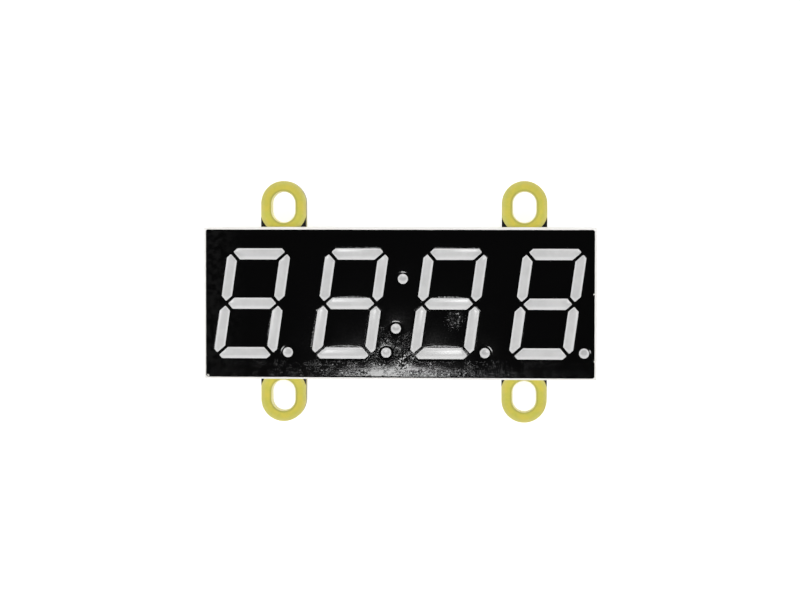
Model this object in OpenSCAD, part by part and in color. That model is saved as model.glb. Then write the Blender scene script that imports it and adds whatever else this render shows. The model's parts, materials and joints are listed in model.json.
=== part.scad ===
// Four-digit clock display with a colon, soldered to a carrier board that has four slotted lugs.
// The module lies flat with its digits facing up: +X runs along the digits, +Y up each digit and
// +Z out of the face. The origin is under the middle of the face, at the level on which the driver
// chip and the pin header on the back of the board rest.

/* [Display housing] */
// Length of the moulded housing along the digits
housing_w = 50.6; // [50.4:0.1:51.4]
// Width of the moulded housing across the digits
housing_h = 19.5; // [19.4:0.1:20.4]
// Height of the display above the board, feet and face ink included
display_t = 8.0; // [7.5:0.1:10]
// Thickness of the outer walls at the face
wall_t = 1.0; // [0.8:0.05:1.2]
// Radius of the edge round the face
face_edge_r = 0.25; // [0.1:0.05:0.35]
// Widening of each outer wall from the face to the back, for release from the mould
wall_draft = 0.08; // [0:0.02:0.16]
// Height of the corner feet
foot_h = 0.4; // [0.2:0.05:0.6]
// Depth of the reflector cavities behind the face
cavity_depth = 6.0; // [5:0.1:6.2]
// Thickness of the black ink on the face
ink_t = 0.04; // [0.02:0.01:0.08]
// Depth of the light guides under the ink
guide_recess = 0.05; // [0:0.01:0.1]

/* [Digits] */
// Distance from one digit to the next
digit_pitch = 12.7; // [12.6:0.05:12.8]
// Height of a digit over its outer segments
digit_h = 14.25; // [13.8:0.05:14.4]
// Width of an upright digit over its outer segments
digit_w = 8.22; // [8:0.02:8.5]
// Lean of the digits to the right, in degrees
slant = 8; // [0:0.5:10]
// Width of the upright segments
upright_w = 1.4; // [1.2:0.05:1.6]
// Width of the level segments
level_w = 1.5; // [1.3:0.05:1.7]
// Gap across the mitre between two segments
mitre_gap = 0.35; // [0.25:0.05:0.45]
// Length cut from each outer corner of a digit
corner_cut = 1.2; // [0.9:0.05:1.4]
// Radius of the corners of a segment window
window_r = 0.15; // [0.05:0.01:0.18]
// Slope of a cavity's long walls, over its depth
side_taper = 0.3; // [0.1:0.05:0.4]
// Slope of a cavity's ends, over its depth
end_taper = 1.4; // [0.4:0.1:1.8]
// Diameter of the decimal points and colon dots
dot_d = 1.35; // [1.2:0.05:1.7]
// Distance from a digit's centre to its decimal point along the digits
point_x = 4.65; // [4.5:0.05:4.7]
// Distance from a digit's centre down to its decimal point
point_y = 6.3; // [6:0.05:6.6]
// Distance of each colon dot from the middle of the face
colon_y = 3.2; // [2.5:0.05:4]

/* [Carrier board] */
// Length of the board along the digits
board_w = 50.2; // [49:0.1:50.4]
// Width of the board without its lugs
board_h = 18.2; // [17.8:0.1:18.6]
// Thickness of the board
board_t = 1.6; // [1.2:0.1:2]
// Height of the parts on the back, on which the module rests
back_parts_h = 2.54; // [2.54:0.02:2.8]
// Distance between the left and right lug slots
lug_pitch_x = 31.75; // [31:0.05:33]
// Distance between the lower and upper lug slots
lug_pitch_y = 24.85; // [24.6:0.05:25.6]
// Width of a lug slot
slot_w = 3.05; // [2.7:0.05:3.3]
// End-to-end length of a lug slot
slot_l = 4.0; // [3.9:0.1:4.4]
// Width of board round each slot
lug_rim = 1.45; // [1.2:0.05:1.6]
// Radius left by the router where a lug meets the board
lug_root_r = 0.5; // [0.3:0.05:0.6]
// Thickness of the gold plating
plating_t = 0.05; // [0.03:0.01:0.08]

/* [Pins and parts on the back] */
// Distance from one pin to the next, in the display and in the header
pin_pitch = 2.54; // [2.54:0.01:2.54]
// Distance between the display's two pin rows
row_pitch = 15.24; // [15.24:0.01:15.24]
// Diameter of the display's pins
pin_d = 0.5; // [0.4:0.05:0.6]
// Length of display pin left under the board after trimming
pin_tail = 1.3; // [0.8:0.1:1.8]
// Length of the header pins past the header's base
header_reach = 6; // [5:0.1:6.2]

/* [Hidden] */
SEGMENTS = ["a", "b", "c", "d", "e", "f", "g"];
DIGITS = [1, 2, 3, 4];
LUGS = ["top_left", "top_right", "bottom_left", "bottom_right"];

$fn = 48;
cut = 0.1; // how far a cutting shape runs past the face that it cuts

// Levels, from the surface under the module up to its face
land_h = 0.6; // upright part of a cavity's walls, next to the face
back_z = back_parts_h;
board_z = back_z + board_t;
rim_z = board_z + foot_h;
face_z = board_z + display_t;
ink_z = face_z - ink_t;
guide_z = ink_z - guide_recess;
floor_z = face_z - cavity_depth;
land_z = guide_z - land_h;
led_board_t = 1.0;
seal_t = 0.4;
seal_z = floor_z - led_board_t - seal_t;
pad_t = 0.05;
pad_z = back_z - pad_t;

// The clear back of the housing, and the LED board in it
pocket_w = housing_w - 2 * wall_t;
pocket_h = housing_h - 2 * wall_t;
led_board_gap = 0.15;
led_board_w = pocket_w - 2 * led_board_gap;
led_board_h = pocket_h - 2 * led_board_gap;
die_w = 0.3;
die_t = 0.12;
land_margin = 0.02;
relief_t = 1.0;
relief_depth = 4.0;

// Black ink stops where the rounded edge starts, or just past it along the digits
ink_spread = 0.025;
ink_w = housing_w - 2 * face_edge_r;
ink_h = housing_h - 2 * (face_edge_r - ink_spread);
ink_corner_r = 0.3;
edge_steps = 4;

// Corner feet
foot_l = 2.4;

// Junctions of an upright digit: its half sizes, the middle of its upright strokes and the half gap
// of a mitre, measured along an axis
half_w = digit_w / 2;
half_h = digit_h / 2;
stroke_x = half_w - upright_w / 2;
mitre = mitre_gap / sqrt(2);
arc_steps = 3;

// Lugs
lug_w = slot_w + 2 * lug_rim;
slot_run = slot_l - slot_w;
pad_overlap = 0.1;

// Display pins
pins_per_row = 6;
hole_r = 0.45;

// Solder on a display pin: its radius at the board and at its tip, its height, and the power of the
// height by which it widens
fillet_r = 0.85;
fillet_skin = 0.12;
fillet_h = 0.95;
fillet_power = 2.2;
fillet_steps = 3;

// Driver chip: a 20-lead small-outline package
chip_x = 4;
chip_l = 12.8;
chip_w = 7.5;
chip_t = back_parts_h - 0.2;
chip_draft = 0.14;
chip_band = 0.3;
chip_mark_inset = 1.1;
chip_mark_r = 0.5;
chip_mark_depth = 0.08;
chip_leads = 10;
lead_pitch = 1.27;
lead_w = 0.4;
lead_t = 0.22;
lead_shoulder = 0.3;
lead_bend = 0.12; // how far the outside of a bend lies past its inside
lead_foot = 0.7;
lead_span = 10.3;

// Pin header: four right-angle pins soldered flat on the back
header_x = -17.1;
header_pin_w = 0.64;
header_count = 4;
header_notch = 0.35;
header_z = back_parts_h / 2;
header_bend_x = 0.95;
header_foot = 1.6;

// Chip capacitors and resistors: centre along the board, centre across it, length, width, height
capacitors = [[-8.4, 3.6, 2.0, 1.25, 0.85], [-8.4, 1.3, 1.6, 0.8, 0.8], [-8.4, -0.7, 1.6, 0.8, 0.8]];
resistors = [[-8.4, -2.6, 1.6, 0.8, 0.45], [-8.4, -4.4, 1.6, 0.8, 0.45]];
terminal_l = 0.35;
terminal_skin = 0.03;
chip_pad_margin = 0.15;

/* Outline functions. Every outline is convex and runs anticlockwise. */

function unit(v) = v / norm(v);
function into(p, i) = unit(p[i] - p[(i + len(p) - 1) % len(p)]);
function out_of(p, i) = unit(p[(i + 1) % len(p)] - p[i]);
function left_of(v) = [-v[1], v[0]];

// Each corner becomes an arc of radius r, tangent to both of its edges
function rounded(p, r) = [
    for (i = [0 : len(p) - 1])
        let (
            a = into(p, i),
            turn = acos(a * out_of(p, i)),
            centre = p[i] - a * r * tan(turn / 2) + left_of(a) * r
        )
        for (step = [0 : arc_steps])
            let (angle = atan2(a[1], a[0]) - 90 + turn * step / arc_steps)
                centre + r * [cos(angle), sin(angle)]
];

function flipped_x(p) = [for (i = [len(p) - 1 : -1 : 0]) [-p[i][0], p[i][1]]];
function flipped_y(p) = [for (i = [len(p) - 1 : -1 : 0]) [p[i][0], -p[i][1]]];
function leaning(p) = [for (q = p) [q[0] + q[1] * tan(slant), q[1]]];
function moved(p, v) = [for (q = p) q + v];
function box_outline(w, h) = [[-w / 2, -h / 2], [w / 2, -h / 2], [w / 2, h / 2], [-w / 2, h / 2]];

// The upper left upright: a tip at the middle joint, a mitre at the top and a cut outer corner
upright_outline = [
    [-stroke_x, mitre],
    [upright_w / 2 - stroke_x, mitre + upright_w / 2],
    [upright_w - half_w, half_h - upright_w - mitre],
    [-half_w + (corner_cut - mitre) / 2, half_h - (corner_cut + mitre) / 2],
    [-half_w, half_h - corner_cut],
    [-half_w, mitre + upright_w / 2]
];
top_outline = [
    [-half_w + (corner_cut + mitre) / 2, half_h - (corner_cut - mitre) / 2],
    [-half_w + mitre + level_w, half_h - level_w],
    [half_w - mitre - level_w, half_h - level_w],
    [half_w - (corner_cut + mitre) / 2, half_h - (corner_cut - mitre) / 2],
    [half_w - corner_cut, half_h],
    [corner_cut - half_w, half_h]
];
middle_outline = [
    [mitre - stroke_x, 0],
    [mitre - stroke_x + level_w / 2, -level_w / 2],
    [stroke_x - mitre - level_w / 2, -level_w / 2],
    [stroke_x - mitre, 0],
    [stroke_x - mitre - level_w / 2, level_w / 2],
    [mitre - stroke_x + level_w / 2, level_w / 2]
];

// Outline of one segment of an upright digit
function segment(s) =
    s == "a" ? top_outline :
    s == "b" ? flipped_x(upright_outline) :
    s == "c" ? flipped_y(flipped_x(upright_outline)) :
    s == "d" ? flipped_y(top_outline) :
    s == "e" ? flipped_y(upright_outline) :
    s == "f" ? upright_outline : middle_outline;

function digit_x(d) = (d - (len(DIGITS) + 1) / 2) * digit_pitch;
function window(d, s) = moved(leaning(segment(s)), [digit_x(d), 0]);
function low_of(p, axis) = min([for (q = p) q[axis]]);
function extent(p, axis) = max([for (q = p) q[axis]]) - low_of(p, axis);
function middle_of(p) = [for (axis = [0, 1]) low_of(p, axis) + extent(p, axis) / 2];
function is_level(s) = s == "a" || s == "d" || s == "g";
function point_at(d) = [digit_x(d) + point_x, -point_y];
function colon_at(side) = side * [colon_y * tan(slant), colon_y];
function pins_at() = [
    for (side = [-1, 1]) for (i = [0 : pins_per_row - 1])
        [(i - (pins_per_row - 1) / 2) * pin_pitch, side * row_pitch / 2]
];
function dots() = concat([for (d = DIGITS) point_at(d)], [colon_at(1), colon_at(-1)]);

// Centre of a segment's LED: the middle of its outline
function die_at(d, s) = middle_of(window(d, s));

// Length of a segment along its stroke, and its width across it
function segment_length(s) = is_level(s) ? extent(segment(s), 0) : extent(segment(s), 1) / cos(slant);
function segment_width(s) = is_level(s) ? level_w : upright_w * cos(slant);

// Section of a cavity from z0 to z1: upright down to the land, then closing in by taper at the floor
function sloping_walls(half, taper, z0, z1) =
    let (
        wide = half + land_margin,
        low = wide - (taper + land_margin) * (land_z - z0) / (land_z - floor_z)
    )
    [[-low, z0], [low, z0], [wide, land_z], [wide, z1], [-wide, z1], [-wide, land_z]];

/* Shared shapes */

// A solid through outlines with the same number of points, each at its own height
module loft(outlines, heights) {
    n = len(outlines[0]);
    last = len(outlines) - 1;
    points = [for (k = [0 : last]) for (q = outlines[k]) [q[0], q[1], heights[k]]];
    walls = [
        for (k = [0 : last - 1]) for (i = [0 : n - 1])
            [k * n + i, (k + 1) * n + i, (k + 1) * n + (i + 1) % n, k * n + (i + 1) % n]
    ];
    floor = [[for (i = [0 : n - 1]) i]];
    roof = [[for (i = [n - 1 : -1 : 0]) last * n + i]];
    polyhedron(points, concat(walls, floor, roof), convexity = 4);
}

module block(w, h, z0, z1) {
    translate([-w / 2, -h / 2, z0]) cube([w, h, z1 - z0]);
}

// Light path of one segment from z0 to z1: the window's outline straight down, and below the land
// four walls that slope in towards the LED. The long walls follow the lean of the digit.
module segment_path(d, s, z0, z1) {
    intersection() {
        translate([0, 0, z0]) linear_extrude(z1 - z0) polygon(rounded(window(d, s), window_r));
        translate(die_at(d, s))
            rotate([0, 0, is_level(s) ? 0 : 90 - slant]) {
                intersection() {
                    rotate([90, 0, 0])
                        linear_extrude(2 * level_w, center = true)
                            polygon(sloping_walls(segment_length(s) / 2, end_taper, z0 - cut, z1 + cut));
                    rotate([90, 0, 90])
                        linear_extrude(digit_h, center = true)
                            polygon(sloping_walls(segment_width(s) / 2, side_taper, z0 - cut, z1 + cut));
                }
            }
    }
}

// Light path of one dot from z0 to z1, a cone
module dot_path(at, z0, z1) {
    slope = side_taper / (guide_z - floor_z);
    translate([at[0], at[1], z0])
        cylinder(
            h = z1 - z0,
            r1 = dot_d / 2 - slope * (guide_z - z0),
            r2 = dot_d / 2 - slope * (guide_z - z1)
        );
}

module led_die(at, z0) {
    translate([at[0], at[1], 0]) block(die_w, die_w, z0, floor_z + die_t);
}

module slot_shape(w, run) {
    square([w, run], center = true);
    for (side = [-1, 1]) translate([0, side * run / 2]) circle(d = w);
}

module at_lugs() {
    for (sx = [-1, 1]) for (sy = [-1, 1])
        translate([sx * lug_pitch_x / 2, sy * lug_pitch_y / 2]) children();
}

// A lug round its slot: a round end away from the board, and straight sides back to the board
module one_lug(side_y) {
    reach = slot_run / 2 + lug_pitch_y / 2 - board_h / 2;
    translate([0, side_y * slot_run / 2]) circle(d = lug_w);
    translate([0, side_y * (slot_run - reach) / 2]) square([lug_w, reach], center = true);
}

// Inner corners left round by the router, one pair for each lug
module lug_roots() {
    for (sx = [-1, 1]) for (sy = [-1, 1]) for (side = [-1, 1])
        translate([sx * lug_pitch_x / 2 + side * lug_w / 2, sy * board_h / 2])
            scale([side, sy])
                difference() {
                    translate([-cut, -cut]) square(lug_root_r + cut);
                    translate([lug_root_r, lug_root_r]) circle(r = lug_root_r);
                }
}

module board_outline() {
    square([board_w, board_h], center = true);
    for (sx = [-1, 1]) for (sy = [-1, 1])
        translate([sx * lug_pitch_x / 2, sy * lug_pitch_y / 2]) one_lug(sy);
    lug_roots();
}

// Section of the housing across one direction: drafted walls and rounded face edges
function housing_section(w) =
    let (
        top = w / 2 - face_edge_r,
        arc = [
            for (k = [0 : edge_steps])
                let (t = 90 * k / edge_steps)
                [top + face_edge_r * cos(t), ink_z - face_edge_r * (1 - sin(t))]
        ],
        right = concat([[w / 2 + wall_draft, rim_z]], arc)
    )
    concat(right, [for (k = [len(right) - 1 : -1 : 0]) [-right[k][0], right[k][1]]]);

/* Carrier board */

module circuit_board() {
    color("#141414")
        translate([0, 0, back_z])
            linear_extrude(board_t)
                difference() {
                    board_outline();
                    at_lugs() slot_shape(slot_w + 2 * plating_t, slot_run);
                    for (at = pins_at()) translate(at) circle(r = hole_r);
                }
}

// Gold on both faces of a lug, out to the edge of the board, joined by a lining in the slot
module lug_plating(sx, sy) {
    at = [sx * lug_pitch_x / 2, sy * lug_pitch_y / 2];
    color("#c9bd55") {
        for (z = [back_z - plating_t, board_z])
            translate([0, 0, z])
                linear_extrude(plating_t)
                    difference() {
                        intersection() {
                            translate(at) slot_shape(lug_w + 2 * pad_overlap, slot_run);
                            board_outline();
                        }
                        translate(at) slot_shape(slot_w, slot_run);
                    }
        translate([at[0], at[1], back_z])
            linear_extrude(board_t)
                difference() {
                    slot_shape(slot_w + 2 * plating_t, slot_run);
                    slot_shape(slot_w, slot_run);
                }
    }
}

/* Display */

// One white moulding: drafted walls, rounded face edges, a pocket for the LED board, corner feet,
// a tapered cavity behind every segment and dot, and relief pockets inside the loops of each digit
module display_housing() {
    color("#f2f0ea")
        difference() {
            union() {
                housing_block();
                housing_feet();
            }
            block(pocket_w, pocket_h, rim_z - cut, floor_z);
            for (d = DIGITS) {
                for (s = SEGMENTS) segment_path(d, s, floor_z - cut, ink_z + cut);
                relief_pockets(d);
            }
            for (at = dots()) dot_path(at, floor_z - cut, ink_z + cut);
        }
}

module housing_block() {
    intersection() {
        rotate([90, 0, 0])
            linear_extrude(2 * housing_h, center = true) polygon(housing_section(housing_w));
        rotate([90, 0, 90])
            linear_extrude(2 * housing_w, center = true) polygon(housing_section(housing_h));
    }
}

module housing_feet() {
    for (sx = [-1, 1]) for (sy = [-1, 1])
        translate([sx * (housing_w - foot_l) / 2, sy * (housing_h - wall_t) / 2, 0])
            block(foot_l, wall_t, board_z, rim_z + cut);
}

// The inside of the upper and lower loop, open to the back
module relief_pockets(d) {
    w = digit_w - 2 * (upright_w + relief_t);
    h = (digit_h - 3 * level_w) / 2 - 2 * relief_t;
    for (side = [-1, 1]) {
        loop = moved(box_outline(w, h), [0, side * (half_h - level_w / 2) / 2]);
        translate([0, 0, floor_z - cut])
            linear_extrude(relief_depth + cut) polygon(moved(leaning(loop), [digit_x(d), 0]));
    }
}

// Black printing over the flat of the face, open at every window and dot
module face_ink() {
    color("#101010")
        translate([0, 0, ink_z])
            linear_extrude(ink_t)
                difference() {
                    polygon(rounded(box_outline(ink_w, ink_h), ink_corner_r));
                    for (d = DIGITS) for (s = SEGMENTS) polygon(rounded(window(d, s), window_r));
                    for (at = dots()) translate(at) circle(d = dot_d);
                }
}

// Cast translucent resin in one segment's cavity, over its LED
module segment_guide(d, s) {
    color("#d4d4d2")
        difference() {
            segment_path(d, s, floor_z, guide_z);
            led_die(die_at(d, s), floor_z - cut);
        }
}

module dot_guide(at) {
    color("#d4d4d2")
        difference() {
            dot_path(at, floor_z, guide_z);
            led_die(at, floor_z - cut);
        }
}

// Thin circuit board that closes the back of the cavities
module led_board() {
    color("#e3dcc0")
        difference() {
            block(led_board_w, led_board_h, floor_z - led_board_t, floor_z);
            display_pin_holes(floor_z - led_board_t, floor_z);
        }
}

// One LED die under every segment, point and colon dot
module led_dice() {
    color("#b03030") {
        for (d = DIGITS) for (s = SEGMENTS) led_die(die_at(d, s), floor_z);
        for (at = dots()) led_die(at, floor_z);
    }
}

// Resin over the back of the LED board and in the gap round it
module back_seal() {
    color("#e8e4d4")
        difference() {
            block(pocket_w, pocket_h, seal_z, floor_z);
            block(led_board_w, led_board_h, seal_z + seal_t, floor_z + cut);
            display_pin_holes(seal_z, seal_z + seal_t);
        }
}

module display_pin_holes(z0, z1) {
    for (at = pins_at())
        translate([at[0], at[1], z0 - cut]) cylinder(h = z1 - z0 + 2 * cut, d = pin_d);
}

module display_pins() {
    color("#c8c8c8")
        for (at = pins_at())
            translate([at[0], at[1], back_z - pin_tail])
                cylinder(h = floor_z - back_z + pin_tail, d = pin_d);
}

// Solder in each display pin's hole, with a fillet on the back
module display_solder() {
    tip_r = pin_d / 2 + fillet_skin;
    cone = [
        for (k = [0 : fillet_steps])
            let (s = k / fillet_steps)
            [tip_r + (fillet_r - tip_r) * pow(s, fillet_power), -fillet_h + (fillet_h - pad_t) * s]
    ];
    plug = [[fillet_r, 0], [hole_r, 0], [hole_r, board_t], [pin_d / 2, board_t], [pin_d / 2, -fillet_h]];
    color("#bfc2c4")
        for (at = pins_at())
            translate([at[0], at[1], back_z]) rotate_extrude() polygon(concat(cone, plug));
}

/* Parts on the back of the board */

// Moulded package with drafted sides, a flat band at the leads and a round mark by its first lead
module driver_chip() {
    z0 = (chip_t - chip_band) / 2;
    ends = box_outline(chip_l - 2 * chip_draft, chip_w - 2 * chip_draft);
    band = box_outline(chip_l, chip_w);
    color("#1b1b1d")
        translate([chip_x, 0, 0])
            difference() {
                loft([ends, band, band, ends], [0, z0, z0 + chip_band, chip_t]);
                translate([chip_mark_inset - chip_l / 2, chip_mark_inset - chip_w / 2, -cut])
                    cylinder(h = cut + chip_mark_depth, r = chip_mark_r);
            }
}

// Twenty gull-wing leads, bent from the package's band to the pads
module driver_leads() {
    mid = chip_t / 2;
    y0 = chip_w / 2;
    y1 = lead_span / 2;
    heel = y1 - lead_foot;
    gull_wing = [
        [y0, mid - lead_t / 2], [y0 + lead_shoulder + lead_bend, mid - lead_t / 2],
        [heel + lead_bend, pad_z - lead_t], [y1, pad_z - lead_t], [y1, pad_z], [heel, pad_z],
        [y0 + lead_shoulder, mid + lead_t / 2], [y0, mid + lead_t / 2]
    ];
    color("#c8c8c8")
        for (side = [0, 180])
            translate([chip_x, 0, 0]) rotate([0, 0, side])
                for (i = [0 : chip_leads - 1])
                    translate([(i - (chip_leads - 1) / 2) * lead_pitch, 0, 0])
                        rotate([90, 0, 90]) linear_extrude(lead_w, center = true) polygon(gull_wing);
}

function header_y(i) = (i - (header_count - 1) / 2) * pin_pitch;

// Black base of the header, notched between its pins
module header_base() {
    half = pin_pitch / 2;
    flat = half - header_notch;
    cell = [
        [-half, -flat], [-flat, -half], [flat, -half], [half, -flat],
        [half, flat], [flat, half], [-flat, half], [-half, flat]
    ];
    color("#18181a")
        difference() {
            translate([header_x, 0, 0])
                linear_extrude(back_parts_h)
                    for (i = [0 : header_count - 1]) translate([0, header_y(i)]) polygon(cell);
            for (i = [0 : header_count - 1])
                translate([header_x, header_y(i), header_z])
                    cube([2 * pin_pitch, header_pin_w, header_pin_w], center = true);
        }
}

// Square pins: straight past the board's parts on one side, bent down to a foot on the other
module header_pins() {
    r = header_pin_w / 2;
    tip = header_x - pin_pitch / 2 - header_reach;
    bend = header_x + pin_pitch / 2 + header_bend_x;
    side = [
        [tip, header_z - r / 2], [tip + r, header_z - r], [bend + r, header_z - r],
        [bend + r, pad_z - header_pin_w], [bend + header_foot, pad_z - header_pin_w],
        [bend + header_foot, pad_z], [bend - r, pad_z], [bend - r, header_z + r],
        [tip + r, header_z + r], [tip, header_z + r / 2]
    ];
    color("#c9b458")
        for (i = [0 : header_count - 1])
            translate([0, header_y(i), 0])
                rotate([90, 0, 0]) linear_extrude(header_pin_w, center = true) polygon(side);
}

// Tinned copper under every surface-mounted foot
module solder_pads() {
    m = chip_pad_margin;
    color("#b8b8b0") {
        for (side = [-1, 1]) for (i = [0 : chip_leads - 1])
            pad([chip_x + (i - (chip_leads - 1) / 2) * lead_pitch, side * (lead_span - lead_foot + m) / 2],
                [lead_w + m, lead_foot + 2 * m]);
        for (i = [0 : header_count - 1])
            pad([header_x + pin_pitch / 2 + header_bend_x + header_foot / 2, header_y(i)],
                [header_foot + 4 * m, header_pin_w + 2 * m]);
        for (p = concat(capacitors, resistors)) for (side = [-1, 1])
            pad([p[0] + side * (p[2] - terminal_l + 2 * m) / 2, p[1]], [terminal_l + 3 * m, p[3] + m]);
    }
}

module pad(at, size) {
    translate([at[0], at[1], 0]) block(size[0], size[1], pad_z, back_z);
}

// The middle of a chip part, between its terminals
module chip_part_body(p) {
    skin = 2 * terminal_skin;
    translate([p[0], p[1], 0])
        block(p[2] - 2 * terminal_l, p[3] - skin, pad_z - p[4] + terminal_skin, pad_z - terminal_skin);
}

module chip_part_terminals(p) {
    for (side = [-1, 1])
        translate([p[0] + side * (p[2] - terminal_l) / 2, p[1], 0])
            block(terminal_l, p[3], pad_z - p[4], pad_z);
}

module capacitor_bodies() {
    color("#a98b62") for (p = capacitors) chip_part_body(p);
}

module capacitor_terminals() {
    color("#c8c8c8") for (p = capacitors) chip_part_terminals(p);
}

module resistor_bodies() {
    color("#202022") for (p = resistors) chip_part_body(p);
}

module resistor_terminals() {
    color("#c8c8c8") for (p = resistors) chip_part_terminals(p);
}

circuit_board();
lug_plating(-1, 1);  // lug_plating_top_left
lug_plating(1, 1);  // lug_plating_top_right
lug_plating(-1, -1);  // lug_plating_bottom_left
lug_plating(1, -1);  // lug_plating_bottom_right
display_housing();
face_ink();
for (d = DIGITS) {
    for (s = SEGMENTS) segment_guide(d, s);
    dot_guide(point_at(d));
}
dot_guide(colon_at(1));  // colon_upper
dot_guide(colon_at(-1));  // colon_lower
led_board();
led_dice();
back_seal();
display_pins();
display_solder();
driver_chip();
driver_leads();
header_base();
header_pins();
solder_pads();
capacitor_bodies();
capacitor_terminals();
resistor_bodies();
resistor_terminals();
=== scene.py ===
# %% [markdown]
# # Looks of a four-digit clock display on its carrier board
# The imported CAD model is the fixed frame: every CAD node is already in place, in metres, face up.
# This lesson gives each visible surface its finish, and rebuilds in finer form the pieces whose
# real shape has curves that the CAD solid leaves out: the printed face, the light guides, the
# plated lugs, the solder joints, the bent leads and the small parts on the back.

# %% Load the frame and keep the size that the CAD model has
import json
import bpy
import numpy as np
from mathutils import Matrix, Vector
from mathutils.geometry import delaunay_2d_cdt

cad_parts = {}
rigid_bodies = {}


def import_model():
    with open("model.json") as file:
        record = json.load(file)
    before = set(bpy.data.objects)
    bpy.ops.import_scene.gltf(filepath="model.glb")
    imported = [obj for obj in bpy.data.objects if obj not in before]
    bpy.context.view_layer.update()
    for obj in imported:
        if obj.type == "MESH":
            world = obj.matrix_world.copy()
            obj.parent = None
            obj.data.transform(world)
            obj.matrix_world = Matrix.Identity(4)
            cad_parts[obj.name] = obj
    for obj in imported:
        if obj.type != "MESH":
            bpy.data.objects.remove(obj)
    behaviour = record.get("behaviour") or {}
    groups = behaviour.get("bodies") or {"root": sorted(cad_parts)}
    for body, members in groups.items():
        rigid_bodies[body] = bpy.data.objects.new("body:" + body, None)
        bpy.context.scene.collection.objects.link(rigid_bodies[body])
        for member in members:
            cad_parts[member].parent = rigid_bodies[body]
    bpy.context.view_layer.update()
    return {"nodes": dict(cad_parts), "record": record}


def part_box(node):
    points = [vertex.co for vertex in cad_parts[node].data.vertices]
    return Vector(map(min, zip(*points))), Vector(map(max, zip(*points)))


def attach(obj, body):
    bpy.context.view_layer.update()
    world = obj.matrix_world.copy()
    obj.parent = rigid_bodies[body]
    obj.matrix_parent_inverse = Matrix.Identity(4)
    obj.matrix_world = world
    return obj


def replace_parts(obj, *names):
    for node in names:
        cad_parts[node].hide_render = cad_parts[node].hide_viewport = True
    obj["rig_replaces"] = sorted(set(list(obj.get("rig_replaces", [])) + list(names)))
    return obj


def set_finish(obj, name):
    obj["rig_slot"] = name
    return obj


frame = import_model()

MM = 0.001
NODES = frame["nodes"]
SLOT_OF = {part["node"]: part["material_slot"] for part in frame["record"]["subparts"]}
GUIDES = [name for name in NODES if SLOT_OF[name] == "guide_resin"]
print("CAD nodes:", len(NODES), "light guides:", len(GUIDES))


def box_mm(node):
    """Lowest and highest corner of a CAD node, in millimetres."""
    low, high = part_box(node)
    return np.array(low) / MM, np.array(high) / MM

# %% [markdown]
# ## From arrays to pieces
# Every new piece is a surface worked out as whole arrays. The usual form is a grid: rows are
# closed loops of points, and each row joins the next with four-sided faces. A piece could also be
# drawn by hand or cut with booleans, but a formula keeps each curve smooth and its size exact.

# %% Helpers that turn arrays into a piece
def loop_faces(rows, columns, first=0, ring=False):
    """Four-sided faces between closed rows: (r, c) joins (r, c+1), (r+1, c+1) and (r+1, c), with
    c counted round the row. With ring, the last row joins the first as well."""
    row = np.arange(rows if ring else rows - 1)[:, None]
    column = np.arange(columns)[None, :]
    beside = (column + 1) % columns
    here, above = row * columns, (row + 1) % rows * columns
    corners = [here + column, here + beside, above + beside, above + column]
    return first + np.stack(corners, -1).reshape(-1, 4)


def cap_face(columns, first=0, turned=False):
    """One flat face over a closed row of points."""
    row = np.arange(columns)
    return first + (row[::-1] if turned else row)[None, :]


def closed_body(rows, columns):
    """Faces of a closed body: the grid of its rows, and a flat end on the first and on the last."""
    ends = [cap_face(columns, turned=True), cap_face(columns, (rows - 1) * columns)]
    return [loop_faces(rows, columns)] + ends


def repeated(points, faces, shifts):
    """Copies of a shape, each moved by one row of shifts."""
    count = len(points)
    moved = (np.asarray(shifts, float)[:, None, :] + points[None, :, :]).reshape(-1, 3)
    steps = np.arange(len(shifts)) * count
    copies = [(steps[:, None, None] + np.asarray(f)[None]).reshape(-1, np.shape(f)[1]) for f in faces]
    return moved, copies


def new_piece(name, points, faces, replaced, crease=35.0):
    """A mesh object from points in millimetres and faces. It stands for the CAD nodes in replaced,
    and takes their slot. Faces point outwards: a shape with negative volume is turned."""
    sizes = np.concatenate([np.full(len(f), np.shape(f)[1]) for f in faces])
    corners = np.concatenate([np.asarray(f).ravel() for f in faces])
    mesh = bpy.data.meshes.new(name)
    mesh.vertices.add(len(points))
    mesh.vertices.foreach_set("co", (np.asarray(points) * MM).astype(np.float32).ravel())
    mesh.loops.add(len(corners))
    mesh.loops.foreach_set("vertex_index", corners.astype(np.int32))
    mesh.polygons.add(len(sizes))
    mesh.polygons.foreach_set("loop_start", (np.cumsum(sizes) - sizes).astype(np.int32))
    mesh.polygons.foreach_set("loop_total", sizes.astype(np.int32))
    mesh.polygons.foreach_set("use_smooth", np.ones(len(sizes), bool))
    mesh.update(calc_edges=True)
    mesh.calc_loop_triangles()
    triangles = np.empty(len(mesh.loop_triangles) * 3, np.int32)
    mesh.loop_triangles.foreach_get("vertices", triangles)
    a, b, c = np.asarray(points, float)[triangles.reshape(-1, 3)].transpose(1, 0, 2)
    volume = float(np.einsum("ij,ij->i", a, np.cross(b, c)).sum() / 6)
    if volume < 0:
        mesh.flip_normals()
    mesh.set_sharp_from_angle(angle=np.radians(crease))
    piece = bpy.data.objects.new(name, mesh)
    bpy.context.scene.collection.objects.link(piece)
    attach(piece, "root")
    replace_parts(piece, *replaced)
    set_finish(piece, SLOT_OF[replaced[0]])
    print(f"{name}: {len(points)} points, {len(triangles) // 3} triangles, {abs(volume):.2f} mm3")
    return piece


def keep_value(piece, name, values):
    """One number for each point, for the material to read."""
    layer = piece.data.attributes.new(name, "FLOAT", "POINT")
    layer.data.foreach_set("value", np.asarray(values, np.float32).ravel())

# %% [markdown]
# ## Outlines with round corners
# Most pieces here are a rounded rectangle, a slot or a circle in plan. All three are one shape:
# a core of corner centres with the same radius drawn round it. Drawing the radius in or out gives
# every parallel outline, so a rounded edge is only a list of insets and heights.

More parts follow.
